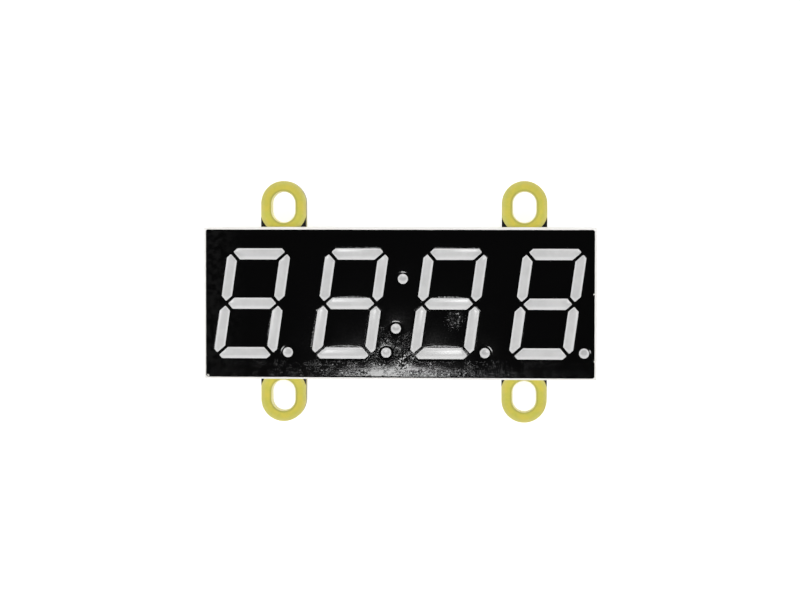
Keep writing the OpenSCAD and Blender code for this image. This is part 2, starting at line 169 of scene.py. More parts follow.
# %% Round outlines, and bodies stacked from them
SAME_POINT = 1e-6  # two points closer than this are one


def round_core(width, height, radius, per_corner=10):
    """Core points and outward directions of a rounded rectangle. An outline is core + radius * way,
    with way turning from 0 to 90 degrees round each of the four corners. A circle has width and
    height of twice the radius, and a slot has one of them: there two corners meet, and the point
    that they share is kept once."""
    angle = np.radians(np.linspace(0, 90, per_corner)[None, :] + 90 * np.arange(4)[:, None])
    way = np.stack([np.cos(angle), np.sin(angle)], -1)
    signs = np.array([[1, 1], [-1, 1], [-1, -1], [1, -1]])
    core = signs[:, None, :] * (np.array([width, height]) / 2 - radius)
    core, way = np.broadcast_to(core, way.shape).reshape(-1, 2), way.reshape(-1, 2)
    outline = core + radius * way
    new = np.linalg.norm(outline - np.roll(outline, 1, axis=0), axis=1) > SAME_POINT
    return core[new], way[new]


def edge_rows(edge_r, z0, z1, steps=4):
    """Insets and heights of a body with round edges: a quarter circle of edge_r at its foot and one
    at its top."""
    turn = np.linspace(0, np.pi / 2, steps)
    inset = edge_r * (1 - np.sin(turn))
    foot = z0 + edge_r * (1 - np.cos(turn))
    return np.concatenate([inset, inset[::-1]]), np.concatenate([foot, (z0 + z1 - foot)[::-1]])


def stacked_body(core, way, radius, insets, heights, ring=False):
    """A closed body: row v is core + (radius - inset(v)) * way at height(v). It has flat ends, or
    with ring, a hole right through it, where the last row joins the first."""
    plan = core[None] + (radius - insets)[:, None, None] * way[None]
    z = np.broadcast_to(np.asarray(heights)[:, None, None], plan.shape[:2] + (1,))
    rows, columns = plan.shape[:2]
    points = np.concatenate([plan, z], -1).reshape(-1, 3)
    return points, [loop_faces(rows, columns, ring=True)] if ring else closed_body(rows, columns)


def rounded_box(low, high, edge_r):
    """A box between two corners with all its edges rounded by edge_r."""
    low, high = np.asarray(low, float), np.asarray(high, float)
    corner_r = edge_r * 1.01  # a little more, so that the innermost row isn't one point
    core, way = round_core(high[0] - low[0], high[1] - low[1], corner_r, per_corner=4)
    insets, heights = edge_rows(edge_r, low[2], high[2])
    points, faces = stacked_body(core, way, corner_r, insets, heights)
    return points + np.append((low[:2] + high[:2]) / 2, 0), faces


def unit(vectors):
    return vectors / np.linalg.norm(vectors, axis=-1, keepdims=True)


def left_of(vectors):
    return np.stack([-vectors[..., 1], vectors[..., 0]], -1)


def filleted(corners, radius, steps=6):
    """An open line with every inner corner turned into an arc: the arc starts radius * tan(turn/2)
    before the corner, is tangent to both edges, and its points lie at equal angles. A corner that
    doesn't turn stays one point."""
    corners = np.asarray(corners, float)
    before, after = unit(corners[1:-1] - corners[:-2]), unit(corners[2:] - corners[1:-1])
    turn = np.arctan2((left_of(before) * after).sum(-1), (before * after).sum(-1))
    side = np.where(turn < 0, -1.0, 1.0)
    start = corners[1:-1] - before * (radius * np.tan(np.abs(turn) / 2))[:, None]
    centre = start + left_of(before) * (side * radius)[:, None]
    angle = turn[:, None] * np.linspace(0, 1, steps)[None, :]
    arm = (start - centre)[:, None, :]
    arcs = centre[:, None, :] + arm * np.cos(angle)[..., None] + left_of(arm) * np.sin(angle)[..., None]
    line = np.concatenate([corners[:1], arcs.reshape(-1, 2), corners[-1:]])
    new = np.linalg.norm(np.diff(line, axis=0), axis=1) > SAME_POINT
    return line[np.append(True, new)]


def swept_strip(path, width, thick, edge_r, taper=None):
    """A strip of metal bent along a path in one plane: point (u, v) is path(u) + normal(u) * t(v),
    at distance w(v) out of the plane, where (w, t) runs round a rounded rectangle. Returns points
    as (along, out of the plane, up)."""
    path = np.asarray(path, float)
    ways = unit(np.gradient(path, axis=0))
    core, way = round_core(width, thick, edge_r, per_corner=3)
    section = core + edge_r * way
    scale = np.ones(len(path)) if taper is None else np.asarray(taper, float)
    lift = left_of(ways)[:, None, :] * (section[None, :, 1] * scale[:, None])[..., None]
    plane = path[:, None, :] + lift
    out = section[None, :, 0] * scale[:, None]
    points = np.stack([plane[..., 0], out, plane[..., 1]], -1)
    return points.reshape(-1, 3), closed_body(*out.shape)


print("circle:", len(round_core(2, 2, 1)[0]), "points, slot:", len(round_core(2, 3, 1)[0]), "points")

# %% [markdown]
# ## Windows of the printed face
# The black printing is a thin skin over the white moulding. Ink doesn't stop square at a window:
# it rolls over into it, so its surface falls away over the last 0.4 millimetres. That lip
# catches light on the side that leans towards a lamp and stays dark on the other, and draws a
# fine line round every segment. The outlines come from the flat tops of the CAD light guides.

# %% Outline of every window
FACE_TOP = box_mm("face_ink")[1][2]
INK_FOOT = box_mm("face_ink")[0][2]
GUIDE_TOP = box_mm("digit_1_segment_a")[1][2]
DOTS = [name for name in GUIDES if "segment" not in name]
FLUSH = 1e-4  # points this close to the top of a guide are in its top
OUTLINE_STEP, DOT_POINTS = 0.22, 48
OVERLAP = 0.03  # ink hangs this far over the edge of a cavity


def mesh_points(node):
    """Points of a CAD node in millimetres."""
    vertices = NODES[node].data.vertices
    points = np.empty(len(vertices) * 3, np.float32)
    vertices.foreach_get("co", points)
    return points.reshape(-1, 3).astype(float) / MM


def evenly_spaced(outline, step):
    """The same closed outline with each edge cut into equal parts no longer than step."""
    after = np.roll(outline, -1, axis=0)
    parts = np.maximum(np.ceil(np.linalg.norm(after - outline, axis=1) / step).astype(int), 1)
    corner = np.repeat(np.arange(len(outline)), parts)
    share = (np.arange(parts.sum()) - np.repeat(np.cumsum(parts) - parts, parts)) / parts[corner]
    return outline[corner] + (after - outline)[corner] * share[:, None]


def by_angle(points):
    """The order of points round their middle, anticlockwise."""
    arm = points - (points.min(0) + points.max(0)) / 2
    return np.argsort(np.arctan2(arm[:, 1], arm[:, 0]))


def window_outline(node):
    """Closed outline of a light guide's top, anticlockwise: a circle for a dot, and for a segment
    the convex corners of the CAD node sorted by their direction from the middle."""
    points = mesh_points(node)
    top = np.unique(np.round(points[points[:, 2] > GUIDE_TOP - FLUSH][:, :2], 5), axis=0)
    middle = (top.min(0) + top.max(0)) / 2
    if node in DOTS:
        angle = np.linspace(0, 2 * np.pi, DOT_POINTS, endpoint=False)
        return middle + np.ptp(top[:, 0]) / 2 * np.stack([np.cos(angle), np.sin(angle)], -1)
    return evenly_spaced(top[by_angle(top)], OUTLINE_STEP)


def outward(outline):
    """Outward direction at each point of an anticlockwise outline: the mean of its two edges'."""
    before = unit(outline - np.roll(outline, 1, axis=0))
    after = unit(np.roll(outline, -1, axis=0) - outline)
    return -left_of(unit(before + after))


windows = {name: window_outline(name) for name in GUIDES}
windows = {name: edge - OVERLAP * outward(edge) for name, edge in windows.items()}
print("windows:", len(windows), "points:", sum(len(w) for w in windows.values()))

# %% [markdown]
# The skin between the lips is flat, but full of openings, so its faces come from a constrained
# triangulation of all the lips' outer lines at once. A boolean would do it too, and would leave
# long slivers at each cut. The border of the print is a lip as well, and a ragged one.

# %% The lip of a window
LIP_W, LIP_DROP, LIP_POWER, DOT_LIP_DROP = 0.42, 0.018, 1.7, 0.03
GAP_SHARE, LEAST_LIP = 0.46, 0.05
NEAR_BY = (-2, -1, 0, 1, 2)
LIP_SHARE = np.array([0.0, 0.08, 0.2, 0.36, 0.56, 0.78, 1.0])


def lip_widths(name):
    """Width of the lip at each point: LIP_W, or less than half of the way to the nearest window.
    The least of five neighbours and then their mean makes it change gently and stay small enough."""
    others = np.concatenate([w for n, w in windows.items() if n != name])
    gap = np.linalg.norm(windows[name][:, None] - others[None], axis=-1).min(1)
    width = np.clip(GAP_SHARE * gap, LEAST_LIP, LIP_W)
    least = np.min([np.roll(width, k) for k in NEAR_BY], axis=0)
    return np.mean([np.roll(least, k) for k in NEAR_BY], axis=0)


def lip(outline, ways, width, drop):
    """Rows from the edge of the ink to the flat: outline + way * width * share, at a depth of
    drop * (1 - share) ** LIP_POWER. Where the lip is narrow it drops less, so its slope stays the
    same."""
    width = np.broadcast_to(width, len(outline))
    plan = outline[None] + ways[None] * (width[None, :] * LIP_SHARE[:, None])[..., None]
    depth = (drop * width / width.max())[:, None] * (1 - LIP_SHARE) ** LIP_POWER
    return plan, FACE_TOP - depth.T


widths = {name: lip_widths(name) for name in windows}
lips = {name: lip(edge, outward(edge), widths[name], DOT_LIP_DROP if name in DOTS else LIP_DROP)
        for name, edge in windows.items()}
print("lips:", len(lips), "narrowest", round(min(w.min() for w in widths.values()), 3), "mm")

# %% The ragged border of the print
BORDER_W, BORDER_DROP = 0.2, 0.018
BORDER_R, BORDER_STEP, WANDER = 0.3, 0.3, 0.03
WANDER_WAVES, WANDER_PHASE = (7, 17, 31, 59, 97, 149), 1.7


def ragged(outline, ways, size):
    """Ink's printed border wanders by a few hundredths of a millimetre: a sum of sines of the
    distance round it."""
    run = np.cumsum(np.linalg.norm(outline - np.roll(outline, 1, axis=0), axis=1))
    turn = 2 * np.pi * run / run[-1]
    wander = sum(np.sin(turn * k + WANDER_PHASE * k) for k in WANDER_WAVES) / len(WANDER_WAVES)
    return outline - ways * (size * (1 + wander) / 2)[:, None]


ink_low, ink_high = box_mm("face_ink")
border_core, border_way = round_core(*(ink_high - ink_low)[:2], BORDER_R, per_corner=5)
border = border_core + BORDER_R * border_way + (ink_low + ink_high)[:2] / 2
border = evenly_spaced(border, BORDER_STEP)
border = ragged(border, outward(border), WANDER)
print("border:", len(border), "points")

# %% Rows of the lips, and the flat between them
loops = [lip(border, -outward(border), BORDER_W, BORDER_DROP)] + list(lips.values())
top_points, skin_faces, edge_rings, flat_ids, flat_loops = [], [], [], [], []
count = 0
for plan, height in loops:
    rows, columns = plan.shape[:2]
    top_points.append(np.concatenate([plan, height[..., None]], -1).reshape(-1, 3))
    skin_faces.append(loop_faces(rows, columns, count))
    edge_rings.append(count + np.arange(columns))
    flat_ids.append(count + (rows - 1) * columns + np.arange(columns))
    flat_loops.append(plan[-1])
    count += rows * columns


def inside(points, loop):
    """Whether each point lies in a closed loop: a ray to the right crosses it an odd number of
    times."""
    a, b = loop, np.roll(loop, -1, axis=0)
    x, y = points[:, 0][:, None], points[:, 1][:, None]
    crosses = (a[:, 1] > y) != (b[:, 1] > y)
    rise = np.where(b[:, 1] == a[:, 1], 1.0, b[:, 1] - a[:, 1])
    at = a[:, 0] + (y - a[:, 1]) * (b[:, 0] - a[:, 0]) / rise
    return (crosses & (x < at)).sum(1) % 2 == 1


MERGED = 1e-7  # the triangulation takes points closer than this as one
flat_points = np.concatenate(flat_loops)
starts = np.cumsum([0] + [len(f) for f in flat_loops])
rings = [(s + np.arange(len(f)), s + (np.arange(len(f)) + 1) % len(f))
         for s, f in zip(starts, flat_loops)]
edges = np.concatenate([np.stack(ring, -1) for ring in rings])
found, _, triangles, origin, _, _ = delaunay_2d_cdt(
    flat_points.tolist(), edges.tolist(), [], 0, MERGED, True)
triangles = np.array([t for t in triangles if len(t) == 3])
centres = np.array([tuple(p) for p in found])[triangles].mean(1)
kept = inside(centres, flat_loops[0])
for loop in flat_loops[1:]:
    kept &= ~inside(centres, loop)
flat_of = np.concatenate(flat_ids)[np.array([ids[0] for ids in origin])]
flat_faces = flat_of[triangles[kept]]
print("flat:", len(flat_faces), "triangles,", len(found) - len(flat_points), "extra points")

# %% The printed face, closed by its underside and its walls
SMOOTH_LIP = 0.25  # share of the lips' roughness that is left round a dot
upper = np.concatenate(top_points)
lower = upper.copy()
lower[:, 2] = INK_FOOT
walls = [np.stack([ring, np.roll(ring, -1), np.roll(ring, -1) + count, ring + count], -1)
         for ring in edge_rings]
walls[0] = walls[0][:, ::-1]
skin = [skin_faces[0]] + [f[:, ::-1] for f in skin_faces[1:]] + [flat_faces]
underside = [(f + count)[:, ::-1] for f in skin]
face_skin = new_piece("printed_face", np.concatenate([upper, lower]), skin + underside + walls,
                      ["face_ink"], crease=60)
rough_lip = [0.0] + [SMOOTH_LIP if name in DOTS else 1.0 for name in windows]
lip_share = [np.repeat(1 - LIP_SHARE, plan.shape[1]) * much
             for (plan, _), much in zip(loops, rough_lip)]
keep_value(face_skin, "on_a_lip", np.tile(np.concatenate(lip_share), 2))

# %% [markdown]
# ## Light guides
# Each segment is milky resin poured into a cavity of the white moulding. Its walls are taken to be
# as flat as the CAD node's, so those points are kept. Its top is not flat: while it is
# liquid the resin climbs the walls, and as it sets it shrinks down in the middle. The new top is
# a grid from the rim to the middle line of the segment, low in the middle and steep at the rim.
#
# Three values travel with the points to the finish. The first is the pale rim, where the white
# wall shows through thin resin, painted lighter and wider on a guide's lower side as painted
# light. The second marks the dots, deeper than wide and painted darker as painted shade.
# along_guide is the distance from the middle along the guide, from which the finish works out
# the slight sag from end to end.

# %% The middle line of a guide
def middle_line(outline):
    """Foot of each point on the outline's middle line: the line lies along its longest direction
    and stops half a width short of each end. Its middle and its direction come with it."""
    middle = (outline.min(0) + outline.max(0)) / 2
    arm = outline - middle
    _, _, axes = np.linalg.svd(arm - arm.mean(0), full_matrices=False)
    along, across = arm @ axes[0], arm @ axes[1]
    half = max((np.ptp(along) - np.ptp(across)) / 2, 0.0)
    return middle + np.clip(along, -half, half)[:, None] * axes[0], middle, axes[0]

# %% Light guides with a sunken top
CLIMB, CLIMB_W, DISH = 0.02, 0.16, 0.06
GLOW_W, LOWER_PAINTED_LIGHT, GLOW_POWER = 0.3, 0.7, 0.7
GUIDE_SHARE = np.array([0.0, 0.05, 0.11, 0.18, 0.27, 0.38, 0.5, 0.64, 0.8])


def light_guide(node):
    """The CAD walls under a new top: the row at share s lies at edge + (foot - edge) * s. With r
    its distance from the middle line and R the greatest r, the dish is
    CLIMB + DISH * (R ** 2 - r ** 2) under the rim. With d its distance from the wall, the resin
    climbs out of the dish to the rim as (1 - d / CLIMB_W) ** 2."""
    vertices, which = np.unique(np.round(mesh_points(node), 5), axis=0, return_inverse=True)
    mesh = NODES[node].data
    corners = np.empty(len(mesh.loops), np.int32)
    mesh.loops.foreach_get("vertex_index", corners)
    walls = which.ravel()[corners].reshape(-1, 3)
    level = vertices[:, 2] > GUIDE_TOP - FLUSH
    walls = walls[~level[walls].all(1)]
    rim = np.flatnonzero(level)
    rim = rim[by_angle(vertices[rim][:, :2])]
    edge = vertices[rim][:, :2]
    foot, middle, long_way = middle_line(edge)
    plan = edge[None] + (foot - edge)[None] * GUIDE_SHARE[:, None, None]
    half = np.linalg.norm(foot - edge, axis=1)[None, :]
    from_wall = half * GUIDE_SHARE[:, None]
    dish = CLIMB + DISH * (half.max() ** 2 - (half - from_wall) ** 2)
    height = GUIDE_TOP - dish * (1 - np.clip(1 - from_wall / CLIMB_W, 0, 1) ** 2)
    rows = np.concatenate([plan, height[..., None]], -1)[1:].reshape(-1, 3)
    ids = np.concatenate([rim, len(vertices) + np.arange(len(rows))])
    grid = ids[loop_faces(*from_wall.shape)]
    top = ids[cap_face(len(rim), (len(GUIDE_SHARE) - 1) * len(rim))]
    points = np.concatenate([vertices, rows])
    piece = new_piece(node + "_lens", points, [walls, grid, top], [node], crease=30)
    # The rim is painted lighter further in on a guide's lower side: painted light.
    lower_side = np.clip((foot - edge)[:, 1] / np.maximum(half[0], SAME_POINT), 0, 1)
    reach = GLOW_W * (1 + LOWER_PAINTED_LIGHT * lower_side)
    by_wall = np.clip(1 - from_wall[1:] / reach, 0, 1) ** GLOW_POWER
    keep_value(piece, "pale_rim_and_painted_light", np.concatenate([np.where(level, 1.0, 0.0), by_wall.ravel()]))
    # Dots are painted darker in the finish: painted shade.
    keep_value(piece, "painted_dot_shade", np.full(len(points), float(node in DOTS)))
    keep_value(piece, "along_guide", (points[:, :2] - middle) @ long_way)


for node in GUIDES:
    light_guide(node)

# %% [markdown]
# ## Plated lugs
# The gold on a lug is one skin: a ring on each face of the board, joined through the slot by a
# lining. In section it is a thin C whose corners are rounded, because plating builds up on an
# edge. The section is carried round the slot. On the outside it stops at the edge of the lug, and
# towards the display at the pad's own circle.

# %% Plated rings swept round the slots
BOARD_FOOT, BOARD_TOP = (corner[2] for corner in box_mm("circuit_board"))
SLOT_R, SLOT_RUN, LINING = 1.525, 0.95, 0.05
LUG_HALF, PAD_OVER = 2.975, 0.1
ROLL, EDGE_ROLL, SAG = 0.11, 0.045, 0.004
QUARTER = np.linspace(0, np.pi / 2, 5)


def plating_section(low_z, high_z):
    """The section as rows of share, offset and height: a point lies at share of the way from the
    slot's wall to the outer edge, plus offset. Each roll is a quarter circle."""
    s, c = np.sin(QUARTER), np.cos(QUARTER)
    outer = np.stack([0 * s + 1, -EDGE_ROLL * (1 - c), high_z - EDGE_ROLL * (1 - s)], -1)
    pad = [(0.75, 0, high_z - SAG), (0.5, 0, high_z), (0.25, 0, high_z - SAG)]
    inner = np.stack([0 * s, ROLL * (1 - s), high_z - ROLL * (1 - c)], -1)
    top = np.concatenate([outer, pad, inner])
    bottom = top[::-1] * (1, 1, -1) + (0, 0, low_z + high_z)
    lining = [(1, 0, BOARD_FOOT), (0, LINING, BOARD_FOOT), (0, LINING, BOARD_TOP), (1, 0, BOARD_TOP)]
    return np.concatenate([top, bottom, lining]).T


def plated_lug(node, side_y):
    """Point (u, v) is core(u) + way(u) * d(u, v) at height z(v). The distance d runs from the
    slot's radius to the outer edge R(u), which is the lug's half width, or towards the display
    the lesser of the pad's radius and the lug's straight side."""
    low, high = box_mm(node)
    core, way = round_core(2 * SLOT_R, 2 * SLOT_R + SLOT_RUN, SLOT_R, per_corner=25)
    sideways = np.maximum(np.abs(way[:, 0]), SAME_POINT)
    pad = np.minimum(LUG_HALF + PAD_OVER, LUG_HALF / sideways)
    outer = np.where(way[:, 1] * side_y < -SAME_POINT, pad, LUG_HALF)
    share, offset, z = plating_section(low[2], high[2])
    d = SLOT_R + (outer[:, None] - SLOT_R) * share + offset
    middle_y = side_y * (np.abs([low[1], high[1]]).max() - LUG_HALF - SLOT_RUN / 2)
    plan = core[:, None] + way[:, None] * d[..., None] + ((low[0] + high[0]) / 2, middle_y)
    points = np.concatenate([plan, np.broadcast_to(z[:, None], d.shape + (1,))], -1)
    ring_faces = [loop_faces(*d.shape, ring=True)]
    piece = new_piece(node + "_ring", points.reshape(-1, 3), ring_faces, [node], crease=50)
    keep_value(piece, "towards_edge", np.broadcast_to(share, d.shape))


for node in [n for n in NODES if n.startswith("lug_plating")]:
    plated_lug(node, 1 if "top" in node else -1)

# %% [markdown]
# ## Solder joints and pins of the display
# The display's pins come through the board and are trimmed, and solder climbs each one in a
# smooth cone. A joint is a surface of revolution round the pin, and it fills the plated hole too.
# Its radius falls from the pad's to the pin's as a power of the height, which is close to the
# curve that liquid solder takes.

# %% Solder cones on the display's pins
PITCH = 2.54
pins = mesh_points("display_pins")
pin_low, pin_high = pins[:, 2].min(), pins[:, 2].max()
pin_places = np.unique(np.round(pins[:, :2] / PITCH * 2), axis=0) * PITCH / 2
pin_places = np.concatenate([pin_places, np.zeros((len(pin_places), 1))], 1)
PIN_R, JOINT_R, HOLE_R, JOINT_H = 0.25, 0.85, 0.45, 0.95
SKIN = 0.03  # thickness of the solder where it ends, on the pin and on the pad
print("display pins:", len(pin_places), "from", pin_low.round(2), "to", pin_high.round(2))


def turned_body(radii, heights, around=32, ring=False):
    """A closed body of revolution: point (u, v) is radius(v) * (cos u, sin u) at height(v)."""
    core, way = round_core(2, 2, 1, per_corner=around // 4 + 1)
    return stacked_body(core, way, 1.0, 1.0 - np.asarray(radii), heights, ring)


def solder_joint():
    """Fillet from the pad up the pin: radius = pin + (pad - pin) * (1 - h) ** 3, for h from 0 to
    1. It is a ring round the pin, and fills the plated hole too."""
    h = np.linspace(1, 0, 12)
    radii = PIN_R + SKIN + (JOINT_R - PIN_R - SKIN) * (1 - h) ** 3
    heights = BOARD_FOOT - SKIN - h * (JOINT_H - SKIN)
    in_hole = [BOARD_FOOT, BOARD_FOOT, BOARD_TOP, BOARD_TOP]
    radii = np.concatenate([[PIN_R], radii, [JOINT_R, HOLE_R, HOLE_R, PIN_R]])
    return turned_body(radii, np.concatenate([[heights[0]], heights, in_hole]), ring=True)


def trimmed_pin():
    """Round pin with a pinched, cut tip: its radius grows over the lowest fifth of a millimetre."""
    radii = PIN_R * np.array([0.62, 0.86, 1.0, 1.0])
    return turned_body(radii, [pin_low, pin_low + 0.06, pin_low + 0.2, pin_high], 20)


new_piece("solder_cones", *repeated(*solder_joint(), pin_places), ["display_solder"], crease=50)
new_piece("trimmed_pins", *repeated(*trimmed_pin(), pin_places), ["display_pins"], crease=40)

# %% [markdown]
# ## Leads of the driver chip and pins of the header
# Both are strips of metal bent round a tool, so their bends are arcs and their edges are slightly
# round. Each is one section swept along a filleted line. The line's corners are those of the CAD
# node, so the strip lies in the same place.

# %% Gull-wing leads
LEAD_T, LEAD_W, LEAD_PITCH, LEAD_FOOT = 0.22, 0.4, 1.27, 0.7
SHOULDER, LEAD_BEND, LEAD_EDGE, HEEL = 0.38, 0.2, 0.04, 0.08
SIDE_LEADS = 10
lead_high = box_mm("driver_leads")[1]
chip_low, chip_high = box_mm("driver_chip")
chip_middle = (chip_low + chip_high) / 2
start_y, end_y = chip_high[1], lead_high[1]
out_z, foot_z = chip_middle[2], lead_high[2] - LEAD_T / 2
knee, ankle = start_y + SHOULDER, end_y - LEAD_FOOT + HEEL
wing = filleted([(start_y, out_z), (knee, out_z), (ankle, foot_z), (end_y, foot_z)], LEAD_BEND)
strip, strip_faces = swept_strip(wing, LEAD_W, LEAD_T, LEAD_EDGE)
strip = strip[:, [1, 0, 2]]
both = np.concatenate([strip, strip * (-1, -1, 1)])
both_faces = strip_faces + [f + len(strip) for f in strip_faces]


def in_a_row(count, pitch, axis, middle=0.0):
    """Shifts of count copies along one axis, pitch apart."""
    shifts = np.zeros((count, 3))
    shifts[:, axis] = middle + (np.arange(count) - (count - 1) / 2) * pitch
    return shifts


places = in_a_row(SIDE_LEADS, LEAD_PITCH, 0, chip_middle[0])
new_piece("bent_leads", *repeated(both, both_faces, places), ["driver_leads"], crease=45)

# %% Header pins with tapered tips
SQUARE, HEADER_BEND, PIN_EDGE = 0.64, 0.34, 0.06
TIP, TIP_SHARE = 0.7, 0.5  # length of the tip, and its width at the end as a share of the pin's
HEADER_PINS, BEHIND_BASE, TAIL = 4, 0.95, 0.3
pin_box_low, pin_box_high = box_mm("header_pins")
base_low, base_high = box_mm("header_base")
run_z = (base_low[2] + base_high[2]) / 2
foot_z = pin_box_high[2] - SQUARE / 2
tip_x, end_x, bend_x = pin_box_low[0], pin_box_high[0], base_high[0] + BEHIND_BASE
line = [(tip_x, run_z), (tip_x + TIP / 2, run_z), (tip_x + TIP, run_z), (bend_x, run_z),
        (bend_x, foot_z), (end_x - TAIL, foot_z), (end_x, foot_z)]
bend = filleted(line, HEADER_BEND)
narrowing = np.clip(TIP_SHARE + (1 - TIP_SHARE) * (bend[:, 0] - tip_x) / TIP, TIP_SHARE, 1)
square_pin, square_faces = swept_strip(bend, SQUARE, SQUARE, PIN_EDGE, narrowing)
places = in_a_row(HEADER_PINS, PITCH, 1)
new_piece("square_pins", *repeated(square_pin, square_faces, places), ["header_pins"], crease=45)

# %% [markdown]
# ## Small parts on the back
# Chip capacitors and resistors are fired ceramic blocks whose corners are tumbled round before
# their ends are dipped in metal. Each block and each end is a box with rounded edges, placed in
# the box of its CAD solid.

# %% Tumbled blocks for the chip capacitors and resistors
def boxes_of(node):
    """Low and high corners of each box in a CAD node whose boxes lie in rows: a row has two
    different y values, and its boxes two different x values each."""
    points = np.unique(np.round(mesh_points(node), 4), axis=0)
    found = []
    for y0, y1 in np.unique(points[:, 1]).reshape(-1, 2):
        row = points[(points[:, 1] >= y0) & (points[:, 1] <= y1)]
        for x0, x1 in np.unique(row[:, 0]).reshape(-1, 2):
            found.append(([x0, y0, row[:, 2].min()], [x1, y1, row[:, 2].max()]))
    return found


def tumbled(name, node, edge_r):
    """One rounded box for each box of the CAD node."""
    points, faces, count = [], [], 0
    for low, high in boxes_of(node):
        block, block_faces = rounded_box(low, high, edge_r)
        points.append(block)
        faces += [f + count for f in block_faces]
        count += len(block)
    new_piece(name, np.concatenate(points), faces, [node], crease=50)


for values in [("capacitor_blocks", "capacitor_bodies", 0.05),
               ("capacitor_ends", "capacitor_terminals", 0.09),
               ("resistor_blocks", "resistor_bodies", 0.04),
               ("resistor_ends", "resistor_terminals", 0.06)]:
    tumbled(*values)

# %% [markdown]
# ## Shared effects
# A finish is a colour, a roughness and a small relief, and none of the three is the same all over.
# The same few effects break them up on every material here, so each is a node group with named
# inputs: grain for moulded and printed skins, flecks for dust and pits, clouds for slow changes,
# facets for a sandy surface, and scratches. A group gives out only a height, a mask or a
# distance, and each material decides what to do with it. All of them read the piece's own
# coordinates in millimetres.

# %% Node helpers
def fill(tree, node, inputs):
    """Sets a node's inputs to numbers or links them to sockets. An input name has _ for a space,
    and an ending of two digits is the input's place in the list."""
    for name, value in inputs.items():
        socket = node.inputs[int(name[-2:]) if name[-2:].isdigit() else name.replace("_", " ")]
        if isinstance(value, bpy.types.NodeSocket):
            tree.links.new(value, socket)
        else:
            socket.default_value = value


def add(tree, kind, settings=None, **inputs):
    """A shader node with its settings and its inputs."""
    node = tree.nodes.new("ShaderNode" + kind)
    for key, value in (settings or {}).items():
        setattr(node, key, value)
    fill(tree, node, inputs)
    return node


def in_order(values):
    return {f"in{i:02d}": value for i, value in enumerate(values)}


def maths(tree, operation, *values):
    """The result of a Math node on up to three values."""
    return add(tree, "Math", {"operation": operation}, **in_order(values)).outputs[0]


def product(tree, one, other):
    return maths(tree, "MULTIPLY", one, other)


def minus(tree, one, other):
    return maths(tree, "SUBTRACT", one, other)


def summed(tree, first, *others):
    """The sum of two or more values."""
    for other in others:
        first = maths(tree, "ADD", first, other)
    return first


def vector_maths(tree, operation, *values):
    """The result of a Vector Math node: a number where it measures, and a vector elsewhere."""
    outputs = add(tree, "VectorMath", {"operation": operation}, **in_order(values)).outputs
    return outputs["Value" if operation in ("LENGTH", "DISTANCE", "DOT_PRODUCT") else "Vector"]


def scaled(tree, vector, factor):
    """A vector times a number."""
    return add(tree, "VectorMath", {"operation": "SCALE"}, in00=vector, Scale=factor).outputs[0]


def joined(tree, x, y, z=0.0):
    """A vector of three numbers."""
    return add(tree, "CombineXYZ", in00=x, in01=y, in02=z).outputs[0]


def parted(tree, vector):
    """The three numbers of a vector."""
    return add(tree, "SeparateXYZ", Vector=vector).outputs

# %% Ramps, colours and groups
NOISE_LOW, NOISE_HIGH = 0.3, 0.7  # most values of a noise lie between these


def ramp(tree, value, low, high, to_low=0.0, to_high=1.0, smooth=True):
    """value from low to high, brought to to_low and to_high and held there."""
    kind = "SMOOTHSTEP" if smooth else "LINEAR"
    return add(tree, "MapRange", {"interpolation_type": kind}, Value=value, From_Min=low,
               From_Max=high, To_Min=to_low, To_Max=to_high).outputs[0]


def by_noise(tree, noise, low, high):
    """low to high as a noise goes through its range."""
    return ramp(tree, noise, NOISE_LOW, NOISE_HIGH, low, high)


def mixed(tree, mask, one, other):
    """A colour between one and other by mask."""
    return add(tree, "Mix", {"data_type": "RGBA"}, in00=mask, in06=one, in07=other).outputs[2]


def new_group(name, inputs, outputs):
    """An empty node group with number or vector inputs and number outputs."""
    tree = bpy.data.node_groups.new(name, "ShaderNodeTree")
    for label, value in inputs.items():
        kind = "NodeSocketVector" if value is None else "NodeSocketFloat"
        socket = tree.interface.new_socket(label, in_out="INPUT", socket_type=kind)
        if value is not None:
            socket.default_value = value
    for label in outputs:
        tree.interface.new_socket(label, in_out="OUTPUT", socket_type="NodeSocketFloat")
    given, give = tree.nodes.new("NodeGroupInput").outputs, tree.nodes.new("NodeGroupOutput").inputs
    return tree, given, give


def finish_group(tree, value, output):
    """Links the group's result to its output."""
    tree.links.new(value, output)
    print(f"{tree.name}: {len(tree.nodes)} nodes")


def use(tree, group, **inputs):
    """A group placed in a material, with its own values. Gives its one output."""
    node = tree.nodes.new("ShaderNodeGroup")
    node.node_tree = group
    fill(tree, node, inputs)
    return node.outputs[0]

# %% Grain: a fine relief of a given size
grain, given, give = new_group("fine_grain", {"Place": None, "Size": 0.2, "Stretch": 1.0}, ["Height"])
place = vector_maths(grain, "MULTIPLY", given["Place"], joined(grain, 1.0, given["Stretch"], 1.0))
per_mm = maths(grain, "DIVIDE", 1.0, given["Size"])
fine = add(grain, "TexNoise", Vector=place, Scale=per_mm, Detail=3.0, Roughness=0.6).outputs[0]
finish_group(grain, fine, give["Height"])

# %% Flecks: round spots, one in some of the cells of a grid
flecks, given, give = new_group(
    "flecks", {"Place": None, "Spacing": 1.0, "Radius": 0.1, "Share": 0.3}, ["Mask"])
per_mm = maths(flecks, "DIVIDE", 1.0, given["Spacing"])
cells = add(flecks, "TexVoronoi", Vector=given["Place"], Scale=per_mm)
lot = add(flecks, "SeparateColor", Color=cells.outputs["Color"]).outputs
away = product(flecks, cells.outputs["Distance"], given["Spacing"])
size = product(flecks, given["Radius"], summed(flecks, 0.4, lot[1]))
spot = ramp(flecks, away, size, product(flecks, size, 0.5))
chosen = maths(flecks, "LESS_THAN", lot[0], given["Share"])
finish_group(flecks, product(flecks, spot, chosen), give["Mask"])

